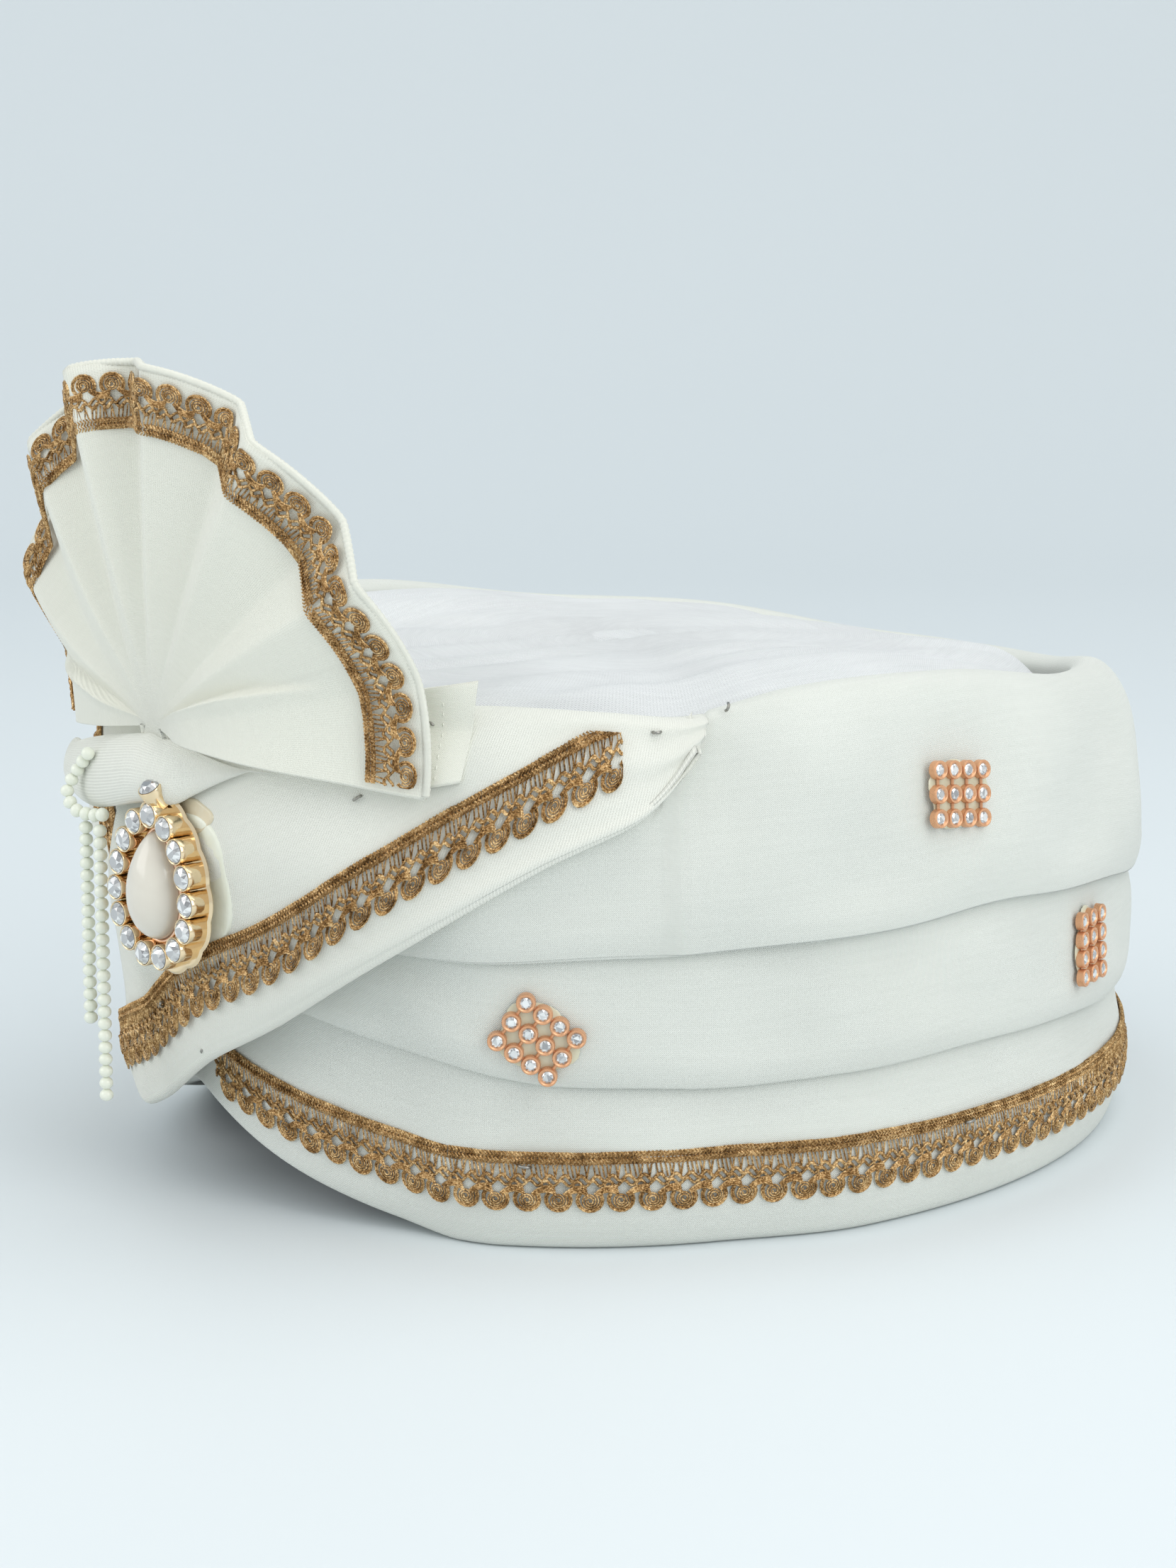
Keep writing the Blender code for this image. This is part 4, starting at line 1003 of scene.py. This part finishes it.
def lace_unit(pitch=6.4):
    """One repeat of the lace in millimetres: along, across from the straight edge, and proud.

    Two rows of V stitches on flat cords, a ladder of slanting threads, a knobbly wavy cord with a
    small ring, a leaf of four threads, and a picot coiled as a spiral inside two arcs.
    """
    parts = []

    def thread(along, across, height, thick, sides=5, flat=1.0):
        parts.append(tube(np.column_stack(np.broadcast_arrays(along, across, height)), thick, sides, flat))

    ends = np.array([0.0, pitch])
    for across in (0.45, 1.75):
        thread(ends, across, 0.22, 0.62, 6, 0.4)
        for k in range(8):
            place = (k + 0.5) * pitch / 8
            lean = 0.5 if across < 1 else -0.5
            thread(
                np.array([place - 0.30, place + 0.34, place - 0.30]),
                np.array([across - 0.62, across + 0.1 * lean, across + 0.62]),
                np.array([0.38, 0.62, 0.38]),
                0.21,
                4,
            )
    for k, slant in enumerate((0.5, 0.4, -0.4, 0.5, -0.45, 0.4, 0.5)):
        place = 0.3 + k * pitch / 7
        thread(np.array([place, place + slant]), np.array([2.4, 5.0]), np.array([0.34, 0.40]), 0.19, 4)
    along = np.linspace(0, pitch, 17)
    for shift, base, thick in ((0.0, 5.15, 0.40), (1.7, 6.15, 0.33)):
        wave = base + 0.62 * np.sin(TAU * 2 * along / pitch + shift)
        knobs = thick * (1 + 0.22 * np.sin(TAU * 8 * along / pitch))
        thread(along, wave, 0.50 + 0.2 * np.cos(TAU * 2 * along / pitch + 2 * shift), knobs)
    turn = np.linspace(0, TAU, 10)
    thread(1.6 + 0.85 * np.cos(turn), 6.5 + 0.8 * np.sin(turn), 0.74, 0.27, 4)
    share = np.linspace(0, 1, 7)
    for shift in (0.0, 0.42, 0.84, 1.26):
        across = 9.2 + 0.34 * shift - 2.5 * np.sin(np.pi * (0.10 + 0.60 * share)) + 0.9 * shift * share
        thread(mix(-1.3, 3.4, share) + 0.3 * shift, across, 0.55 + 0.2 * np.sin(np.pi * share), 0.24, 4)
    turn = np.linspace(-0.6, TAU * 2.6, 33)
    part = (turn - turn[0]) / (turn[-1] - turn[0])
    spiral = mix(1.8, 0.35, part)
    thread(4.1 + spiral * np.cos(turn), 9.75 + 0.95 * spiral * np.sin(turn), 0.45 + 0.25 * part, 0.22)
    turn = np.linspace(-0.85, np.pi + 0.65, 12)
    for reach, thick in ((2.28, 0.22), (2.72, 0.24)):
        thread(4.1 + reach * np.cos(turn), 9.6 + 0.94 * reach * np.sin(turn), 0.42, thick, 4)
    return joined(parts)


LACE_UNIT = lace_unit()
LACE_PITCH = 0.0064


def lay_lace(name, node_name, place, flip, start=0.0, end=1.0, steps=900):
    """Repeats the unit along a strip: each point goes to place(across, width) plus its height along
    the strip's normal, which flip turns round. Across follows the length run along the middle line."""
    across = np.linspace(start, end, steps)
    middle = place(across, np.full(steps, 0.5 * LACE_WIDTH))
    run = run_along(middle)
    count = int(run[-1] / LACE_PITCH)
    stretch = run[-1] / (count * LACE_PITCH)
    unit, faces = LACE_UNIT
    unit = 0.001 * unit
    chance = np.random.default_rng(61)
    parts = np.tile(unit, (count, 1))
    parts[:, 0] = (parts[:, 0] + LACE_PITCH * np.repeat(np.arange(count), len(unit))) * stretch
    shake = chance.normal(0, 0.00006, (count, 3))
    parts += np.repeat(shake, len(unit), axis=0) * (1, 1, 0)
    spot = np.interp(np.clip(parts[:, 0], 0, run[-1]), run, across)
    width = parts[:, 1]
    step = (end - start) / steps
    base = place(spot, width)
    right = place(spot + step, width) - place(spot - step, width)
    up = place(spot, width + 0.0004) - place(spot, width - 0.0004)
    normal = np.cross(right, up)
    normal /= np.maximum(np.linalg.norm(normal, axis=1, keepdims=True), 1e-9)
    if flip:
        normal = -normal
        faces = [face[::-1] for face in faces]
    points = base + normal * parts[:, 2:3]
    faces = [tuple(i + n * len(unit) for i in face) for n in range(count) for face in faces]
    add_piece(name, new_mesh(name, points, faces), FINISHES["thread"], [node_name], 75)


def laces():
    def hem(across, width):
        angle = mix(-7, 340, across)
        height = HEM_LACE_RISE * arch(angle) + HEM_LACE_HEIGHT + LACE_WIDTH - width
        return wall(angle, height, lower_depth(angle, height) - 0.0002)

    lay_lace("hem_lace_threads", "hem_lace", hem, True)
    slant = np.cos(np.radians(LACE_SLANT))
    for side in ("left", "right"):
        first = FRONT_LACE_START if side == "left" else FRONT_LACE_HIDDEN

        def front(across, width, side=side, first=first):
            angle = mix(first, FRONT_LACE_END, across)
            height = wrap_edge(angle) + FRONT_LACE_HEIGHT + (LACE_WIDTH - width) / slant
            height = np.minimum(height, rim(angle) - 0.003)
            low = wrap_low(side, angle)
            under = 0 if side == "left" else under_left(angle)
            share = (height - low) / (rim(angle) - low)
            bulge = WRAP_ROLL * np.minimum(read(WRAP_SECTIONS[:5], 1, share), 0)
            bulge = (bulge + wrap_soft(angle, height, share)) * (1 - under)
            return wrap_point(side, angle, height, bulge - 0.0003)

        lay_lace(f"front_lace_{side}_threads", f"front_lace_{side}", front, side == "left")

    def fan_strip(across, width):
        share = mix(1 - FAN_LACE_IN / FAN_RADIUS, 1 - FAN_LACE_OUT / FAN_RADIUS, width / LACE_WIDTH)
        return fan_point(across, share, 0.0004 + lapped(across, share))

    lay_lace("fan_lace_threads", "fan_lace", fan_strip, False, 0.006, 0.994, 1600)


# Brooch


def brooch_outline(turn, grow=0.0):
    narrow = 1 - BROOCH_TAPER * (1 + np.cos(turn)) / 2
    half_width = BROOCH_HALF_WIDTH * narrow + grow
    return np.stack([half_width * np.sin(turn), (BROOCH_HALF_HEIGHT + grow) * np.cos(turn)], -1)


def even_turns(count):
    turns = np.linspace(0, TAU, 361)
    run = run_along(brooch_outline(turns))
    return np.interp(np.arange(count) / count * run[-1], run, turns)


def brooch_place():
    heights = np.array([BROOCH_Z + share * BROOCH_HALF_HEIGHT for share in (-0.75, -0.35, 0, 0.4)])
    seat_y = wall(0, heights, -GAP)[:, 1].min()
    return Matrix.Translation((BROOCH_X, seat_y, BROOCH_Z)) @ Matrix.Rotation(np.pi / 2, 4, "X")


def tip_place():
    out = Matrix.Translation((0, BROOCH_HALF_HEIGHT + TIP_RISE, PLATE + CUP_RADIUS * 0.6))
    return out @ Matrix.Rotation(-np.radians(TIP_TILT), 4, "X")


def turned_profile(profile, sides, phase=0.0):
    """A closed solid turned round Z from (radius, height) points, the first and last on the axis."""
    turn = TAU * np.arange(sides) / sides + phase
    inner = profile[1:-1]
    rings = [np.column_stack([r * np.cos(turn), r * np.sin(turn), np.full(sides, z)]) for r, z in inner]
    points = np.concatenate(rings + [[(0, 0, profile[0][1])], [(0, 0, profile[-1][1])]])
    faces = []
    top, foot = len(inner) * sides, len(inner) * sides + 1
    for k in range(sides):
        n = (k + 1) % sides
        faces.append((top, k, n))
        for r in range(len(inner) - 1):
            faces.append((r * sides + k, (r + 1) * sides + k, (r + 1) * sides + n, r * sides + n))
        faces.append((foot, (len(inner) - 1) * sides + n, (len(inner) - 1) * sides + k))
    return points, faces


def cup_profile(radius, low, high, lip):
    """Straight sides with a rounded lip that turns in over the stone, and a shallow well."""
    return [
        (0, high - 1.5 * lip),
        (radius - 2.0 * lip, high - 1.5 * lip),
        (radius - 1.35 * lip, high - 0.3 * lip),
        (radius - 0.9 * lip, high),
        (radius - 0.3 * lip, high - 0.15 * lip),
        (radius, high - 0.7 * lip),
        (radius * 0.985, mix(low, high, 0.62)),
        (radius * 1.0, mix(low, high, 0.3)),
        (radius * 1.02, low),
        (0, low),
    ]


def brilliant(radius, height):
    """A round cut stone: an eight-sided table, star and kite facets down to sixteen girdle points."""
    eight = TAU * np.arange(8) / 8
    sixteen = TAU * np.arange(16) / 16

    def ring(turn, size, level):
        return np.column_stack([size * np.cos(turn), size * np.sin(turn), np.full(len(turn), level)])

    points = np.concatenate(
        [
            ring(eight, 0.54 * radius, height),
            ring(eight + TAU / 16, 0.78 * radius, 0.78 * height),
            ring(sixteen, radius, 0.42 * height),
            ring(sixteen, 0.8 * radius, 0.0),
        ]
    )
    faces = [tuple(range(8))]
    for k in range(8):
        n = (k + 1) % 8
        faces.append((k, 8 + k, n))
        faces.append((k, 8 + (k - 1) % 8, 16 + 2 * k, 8 + k))
        middle = 16 + 2 * k + 1
        faces.append((8 + k, 16 + 2 * k, middle))
        faces.append((8 + k, middle, 16 + (2 * k + 2) % 16))
    for k in range(16):
        n = (k + 1) % 16
        faces.append((16 + k, 32 + k, 32 + n, 16 + n))
    faces.append(tuple(range(47, 31, -1)))
    return points, faces


def brooch():
    place = brooch_place()
    turns = even_turns(BROOCH_STONES)
    spots = [place @ Matrix.Translation((*brooch_outline(turn), 0)) for turn in turns]
    cup = turned_profile(cup_profile(CUP_RADIUS * 1.02, PLATE / 2, CUP_HEIGHT + 0.0005, 0.00026), 24)
    cups = copied(cup, [moved(spot) for spot in spots])
    tip_cup = turned_profile(cup_profile(CUP_RADIUS, -CUP_RADIUS, CUP_RADIUS * 0.6 + 0.0004, 0.00026), 24)
    tip = copied(tip_cup, [moved(place @ tip_place())])

    around = np.linspace(0, TAU, 181)[:-1]
    lobes = 0.0006 * np.abs(np.cos(BROOCH_STONES / 2 * around)) - 0.0002
    flat = brooch_outline(around, (CUP_RADIUS + PLATE_EDGE) + lobes)
    rows = []
    for grow, high in ((0.25, 1), (0.8, 1), (0.97, 0.9), (1.0, 0.5), (0.97, 0.1), (0.8, 0.0), (0.25, 0.0)):
        rows.append(np.column_stack([flat * grow, np.full(len(around), high * PLATE)]))
    plate = np.stack(rows)
    count = plate.shape[1]
    plate_points = plate.reshape(-1, 3)
    plate_faces = []
    for r in range(len(rows) - 1):
        for k in range(count):
            n = (k + 1) % count
            plate_faces.append((r * count + k, r * count + n, (r + 1) * count + n, (r + 1) * count + k))
    plate_faces.append(tuple(range(count - 1, -1, -1)))
    plate_faces.append(tuple(range((len(rows) - 1) * count, len(rows) * count)))
    plate_whole = copied((plate_points, plate_faces), [moved(place)])
    mesh = new_mesh("brooch_cups", *joined([plate_whole, cups, tip]))
    add_piece("brooch_cups", mesh, FINISHES["gilt"], ["brooch_setting"], 40)

    shape = brilliant(STONE_RADIUS * 0.98, STONE_HEIGHT)
    seated = Matrix.Translation((0, 0, CUP_HEIGHT - 0.0002))
    stands = [moved(spot @ seated @ Matrix.Rotation(0.7 * n, 4, "Z")) for n, spot in enumerate(spots)]
    stands.append(moved(place @ tip_place() @ Matrix.Translation((0, 0, CUP_RADIUS * 0.6 - 0.0002))))
    stones = new_mesh("brooch_stones", *copied(shape, stands))
    named = [f"brooch_stone_{number:02d}" for number in range(1, BROOCH_STONES + 2)]
    add_piece("brooch_stones", stones, FINISHES["stone"], named, 5)

    v, u = np.meshgrid(np.linspace(0.03, np.pi - 0.03, 42), np.linspace(0, TAU, 65)[:-1], indexing="ij")
    up, side, out = np.cos(v), np.sin(v) * np.cos(u), np.sin(v) * np.sin(u)
    narrow = 1 - 0.42 * ((1 + up) / 2) ** 2
    bulge = np.maximum(out, -0.12) * PEARL_BULGE * (1 - 0.15 * up)
    drop = np.stack([PEARL_HALF_WIDTH * side * narrow, PEARL_HALF_HEIGHT * up, bulge], -1)
    drop[..., 2] += PLATE + GAP - drop[..., 2].min()
    pearl = moved(place)(drop.reshape(-1, 3)).reshape(drop.shape)
    mesh = surface("brooch_pearl_drop", pearl, True, "first last")
    add_piece("brooch_pearl_drop", mesh, FINISHES["pearl"], ["brooch_pearl"])

    turn = np.linspace(0, TAU, 97)
    narrow = 1 - 0.42 * ((1 + np.cos(turn)) / 2) ** 2
    across = (PEARL_HALF_WIDTH * narrow + 0.0005) * np.sin(turn)
    along = (PEARL_HALF_HEIGHT + 0.0005) * np.cos(turn)
    path = np.column_stack([across, along, np.full(97, PLATE + 0.0009)])
    rim_tube = tube(path, 0.00055, 8)
    wall_tube = tube(path * (1.0, 1.0, 0.0) + (0, 0, PLATE + 0.0003), 0.0005, 8)
    mesh = new_mesh("pearl_rim", *copied(joined([rim_tube, wall_tube]), [moved(place)]))
    add_piece("pearl_rim", mesh, FINISHES["rose"])


def glue_film():
    """Dried glue that shows round the brooch, and a yellow-brown patch above its right side: each a thin film
    on the cloth, thickest inside its rim.
    """
    turn = np.linspace(0, TAU, 97)[:-1]
    blots = (
        ("glue_film", "film", (0.0016, -0.0003), (0.0174, 0.0172), 1.0),
        # A yellow-brown patch on the cloth above the brooch's right side, drawn as a thin film.
        ("brooch_corner_patch", "yellow_brown", (0.0070, 0.0150), (0.0065, 0.0036), 2.6),
    )
    section = ((1.0, -0.0004), (0.985, 0.00018), (0.95, 0.00035))
    section += ((0.88, 0.00025), (0.5, 0.0002), (0.05, 0.0002))
    for name, finish, middle, size, seed in blots:
        uneven = 1 + 0.05 * np.sin(3 * turn + seed) + 0.035 * np.sin(5 * turn + 2 * seed)
        rows = []
        for share, lift in section:
            x = BROOCH_X + middle[0] + size[0] * share * uneven * np.sin(turn)
            height = BROOCH_Z + middle[1] - size[1] * share * uneven * np.cos(turn)
            angle = np.degrees(x / HALF_WIDTH)
            low = wrap_low("left", angle)
            up = (height - low) / (rim(angle) - low)
            rows.append(wall(angle, height, wrap_soft(angle, height, up) - lift))
        mesh = surface(name, np.stack(rows), True, "last")
        add_piece(name, mesh, FINISHES[finish])


PINS = (
    (-1.5, 0.1005, -0.0060, 20, 0.0016),
    (24.0, 0.0955, -0.0003, 35, 0.0017),
    (31.5, 0.1108, -0.0022, -30, 0.0013),
    (54.5, 0.1085, -0.0005, 0, 0.0016),
    (62.5, 0.1120, 0.0034, 70, 0.0016),
    (-0.5, 0.0362, -0.0004, 50, 0.0016),
    (-6.5, 0.0445, -0.0020, 80, 0.0012),
    (41.0, 0.0190, 0.0037, -8, 0.0026),
    (89.5, 0.0197, -0.0003, 10, 0.0022),
)


def pins():
    """Small grey staples left in the cloth: short bent wires at their places on the wall."""
    parts = []
    for angle, height, depth, turned, length in PINS:
        at = np.linspace(-0.5, 0.5, 7) * length
        run, rise = at * np.cos(np.radians(turned)), at * np.sin(np.radians(turned))
        sunk = 0.0009 * (np.abs(at) / (0.5 * length)) ** 4
        path = wall(angle + np.degrees(run / HALF_WIDTH), height + rise, depth + sunk)
        parts.append(tube(path, 0.00032, 6))
    add_piece("pins", new_mesh("pins", *joined(parts)), FINISHES["pin"])


# Strings of beads


def bead_string(name, node_name, path):
    """Beads threaded a bead's length apart along the path, each a ball a little shorter than wide."""
    path = np.asarray(path)
    run = run_along(path)
    count = max(int(round(run[-1] / (1.72 * BEAD_RADIUS))), 2)
    at = (np.arange(count) + 0.5) / count * run[-1]
    middles, ahead, behind = (
        np.stack([np.interp(place, run, path[:, axis]) for axis in range(3)], -1)
        for place in (at, np.minimum(at + 1e-4, run[-1]), at - 1e-4)
    )
    profile = [(np.sin(t) * BEAD_RADIUS, np.cos(t) * 0.9 * BEAD_RADIUS) for t in np.linspace(0, np.pi, 10)]
    ball = turned_profile(profile, 16)
    stands = []
    for middle, way in zip(middles, ahead - behind):
        turned = Vector(way).to_track_quat("Z", "Y").to_matrix().to_4x4()
        stands.append(moved(Matrix.Translation(middle) @ turned))
    thread = tube(path, 0.0003, 5)
    mesh = new_mesh(name, *joined([copied(ball, stands), thread]))
    add_piece(name, mesh, FINISHES["bead"], [node_name])


def strings():
    swag = np.array([(x, STRAND_Y - forward, z) for x, forward, z in SWAG])
    table = np.column_stack([np.arange(len(swag)), swag])
    at = np.linspace(0, len(swag) - 1, 60)
    path = np.column_stack([read(table, column, at) for column in (1, 2, 3)])
    bead_string("swag_beads", "pearl_swag", path + (0, BACK, 0))
    for name, (x, foot) in (("short", SHORT_STRAND), ("long", LONG_STRAND)):
        heights = mix(STRAND_TOP, foot, np.linspace(0, 1, 24))
        path = np.array([(x, STRAND_Y + BACK, height) for height in heights])
        bead_string(f"strand_{name}_beads", f"pearl_strand_{name}", path)


# Stone patches


def patch_place(angle, height, roll, depth_at):
    def on_cloth(turn, rise):
        at, up = angle + turn, height + rise
        return Vector(wall(at, up, depth_at(at, up)))

    reach = PATCH_PITCH * PATCH_COLUMNS / 2
    turn = float(np.degrees(reach / HALF_WIDTH))
    across = (on_cloth(turn, 0) - on_cloth(-turn, 0)).normalized()
    out = across.cross(on_cloth(0, reach) - on_cloth(0, -reach)).normalized()
    spot = on_cloth(0, 0)
    corners = [on_cloth(turn * side, reach * end) for side in (-1, 0, 1) for end in (-1, 0, 1)]
    lift = max((corner - spot).dot(out) for corner in corners)
    axes = Matrix((across, out.cross(across), out)).transposed().to_4x4()
    return Matrix.Translation(spot + out * (lift + GAP)) @ axes @ Matrix.Rotation(np.radians(roll), 4, "Z")


def stone_patches():
    """Rows of small cups with a link between neighbours, a cut stone in each, on a smear of glue."""
    half_x, half_y = PATCH_PITCH * (PATCH_COLUMNS - 1) / 2, PATCH_ROW_PITCH * (PATCH_ROWS - 1) / 2
    columns = [PATCH_PITCH * column - half_x for column in range(PATCH_COLUMNS)]
    grid = [(x, PATCH_ROW_PITCH * row - half_y) for x in columns for row in range(PATCH_ROWS)]
    cup = turned_profile(cup_profile(PATCH_CUP, 0.0002, PATCH_CUP_HEIGHT + 0.0004, 0.00042), 20)
    stone = brilliant(0.00150, 0.0008)
    links = []
    for x, y in grid:
        for other_x, other_y in grid:
            apart = abs(other_x - x) + abs(other_y - y)
            if 0 < apart < 1.05 * PATCH_ROW_PITCH and (other_x, other_y) > (x, y):
                links.append(tube([(x, y, 0.0007), (other_x, other_y, 0.0007)], 0.00035, 6))
    cups = copied(cup, [moved(Matrix.Translation((x, y, 0))) for x, y in grid])
    stands = []
    for n, (x, y) in enumerate(grid):
        seated = Matrix.Translation((x, y, PATCH_CUP_HEIGHT - 0.0005))
        stands.append(moved(seated @ Matrix.Rotation(2.1 * n, 4, "Z")))
    stones = copied(stone, stands)
    metal = joined([cups] + links)
    turn = np.linspace(0, TAU, 33)[:-1]
    blob = 1 + 0.07 * np.sin(3 * turn + 1) + 0.05 * np.sin(5 * turn)
    profile = [(1.0, 0.0), (0.93, 0.00025), (0.6, 0.00040), (0.05, 0.00040)]
    smear = []
    for share, lift in profile:
        x = (half_x + 0.0021) * share * blob * np.cos(turn)
        y = (half_y + 0.0021) * share * blob * np.sin(turn)
        smear.append(np.column_stack([x, y, np.full(32, lift)]))
    smear = np.stack(smear)
    depths = {"middle": middle_depth, "top": lambda angle, height: seat(angle)}
    for name, angle, share, roll, band in PATCHES:
        for side, sign in (("left", 1), ("right", -1)):
            place = patch_place(sign * angle, share * RIM_HEIGHT, sign * roll, depths[band])
            patch, solid = f"patch_{name}_{side}", f"stone_patch_{name}_{side}"
            mesh = new_mesh(patch + "_cups", *copied(metal, [moved(place)]))
            add_piece(patch + "_cups", mesh, FINISHES["copper"], [solid], 40)
            mesh = new_mesh(patch + "_stones", *copied(stones, [moved(place)]))
            add_piece(patch + "_stones", mesh, FINISHES["stone"], (), 5)
            spread = moved(place)(smear.reshape(-1, 3)).reshape(smear.shape)
            mesh = surface(patch + "_glue", spread, True)
            add_piece(patch + "_glue", mesh, FINISHES["glue"])


# Light, floor, camera


def stage():
    """A pale floor that curves up into a backdrop, lit by soft panels and a pale sky."""
    floor, tree, shader = new_material("pale_studio_floor", Roughness=0.55)
    place = node(tree, "TexCoord").outputs["Object"]
    colour = blend(tree, noise(tree, place, 3.0), (0.725, 0.775, 0.80), (0.745, 0.795, 0.82))
    tree.links.new(colour, shader.inputs["Base Color"])
    turn = np.linspace(0, np.pi / 2, 24)
    curve = [(0.9 + 0.9 * np.sin(t), 0.9 - 0.9 * np.cos(t)) for t in turn[1:]]
    profile = [(-2.2, 0.0), (0.9, 0.0), *curve, (1.8, 3.0)]
    camera_way = np.array((np.sin(np.radians(AZIMUTH)), -np.cos(np.radians(AZIMUTH))))
    side_way = np.array((camera_way[1], -camera_way[0]))
    rows = []
    for along, height in profile:
        for side in (-2.5, 2.5):
            flat = -camera_way * along + side_way * side
            rows.append((flat[0], flat[1], height))
    points = np.array(rows).reshape(len(profile), 2, 3)
    mesh = surface("studio_sweep", points[:, ::-1])
    mesh.materials.append(floor)
    sweep = bpy.data.objects.new("studio_sweep", mesh)
    bpy.context.scene.collection.objects.link(sweep)


AZIMUTH, ELEVATION, DISTANCE = 47, 11, 0.85


def camera():
    """The photograph's view: 85 mm lens on a frame 36 mm tall, a little above the turban."""
    turn, rise = np.radians(AZIMUTH), np.radians(ELEVATION)
    out = Vector((np.sin(turn) * np.cos(rise), -np.cos(turn) * np.cos(rise), np.sin(rise)))
    target = Vector((-0.0093 * np.cos(turn), -0.0093 * np.sin(turn) + BACK, 0.077))
    lens = bpy.data.cameras.new("camera")
    lens.sensor_fit = "VERTICAL"
    lens.sensor_height = 36
    lens.lens = 5227.5 * 36 / 2212
    lens.clip_start, lens.clip_end = 0.01, 20
    made = bpy.data.objects.new("camera", lens)
    made.location = target + DISTANCE * out
    made.rotation_euler = (-out).to_track_quat("-Z", "Y").to_euler()
    bpy.context.scene.collection.objects.link(made)
    bpy.context.scene.camera = made


def soft_panel(name, place, aim, width, height, power, colour):
    lamp = bpy.data.lights.new(name, "AREA")
    lamp.shape = "RECTANGLE"
    lamp.size, lamp.size_y = width, height
    lamp.energy, lamp.color = power, colour
    made = bpy.data.objects.new(name, lamp)
    made.location = place
    made.rotation_euler = (Vector(aim) - Vector(place)).to_track_quat("-Z", "Y").to_euler()
    bpy.context.scene.collection.objects.link(made)


def lights():
    world = bpy.data.worlds.new("pale_studio")
    world.use_nodes = True
    world.node_tree.nodes["Background"].inputs["Color"].default_value = (0.89, 0.935, 0.955, 1)
    world.node_tree.nodes["Background"].inputs["Strength"].default_value = 0.80
    bpy.context.scene.world = world
    soft_panel("top_panel", (0.35, 0.10, 1.25), (0, 0, 0.05), 1.3, 1.3, 5.5, (1.0, 0.99, 0.97))
    soft_panel("left_panel", (-0.7, -1.2, 0.75), (0, 0, 0.08), 1.2, 1.0, 5.5, (1.0, 0.98, 0.96))
    soft_panel("right_panel", (1.4, -0.1, 0.8), (0, 0, 0.06), 0.8, 1.0, 6.5, (1.0, 0.995, 0.98))
    bpy.context.scene.view_settings.view_transform = "Standard"


camera()
stage()
lights()
inner_cap()
crown_cloth()
lower_band()
middle_band()
top_band()
for wrap_side in ("right", "left"):
    front_wrap(wrap_side)
    fan_end(wrap_side)
front_knot()
fan()
fan_edge()
laces()
glue_film()
brooch()
pins()
strings()
stone_patches()
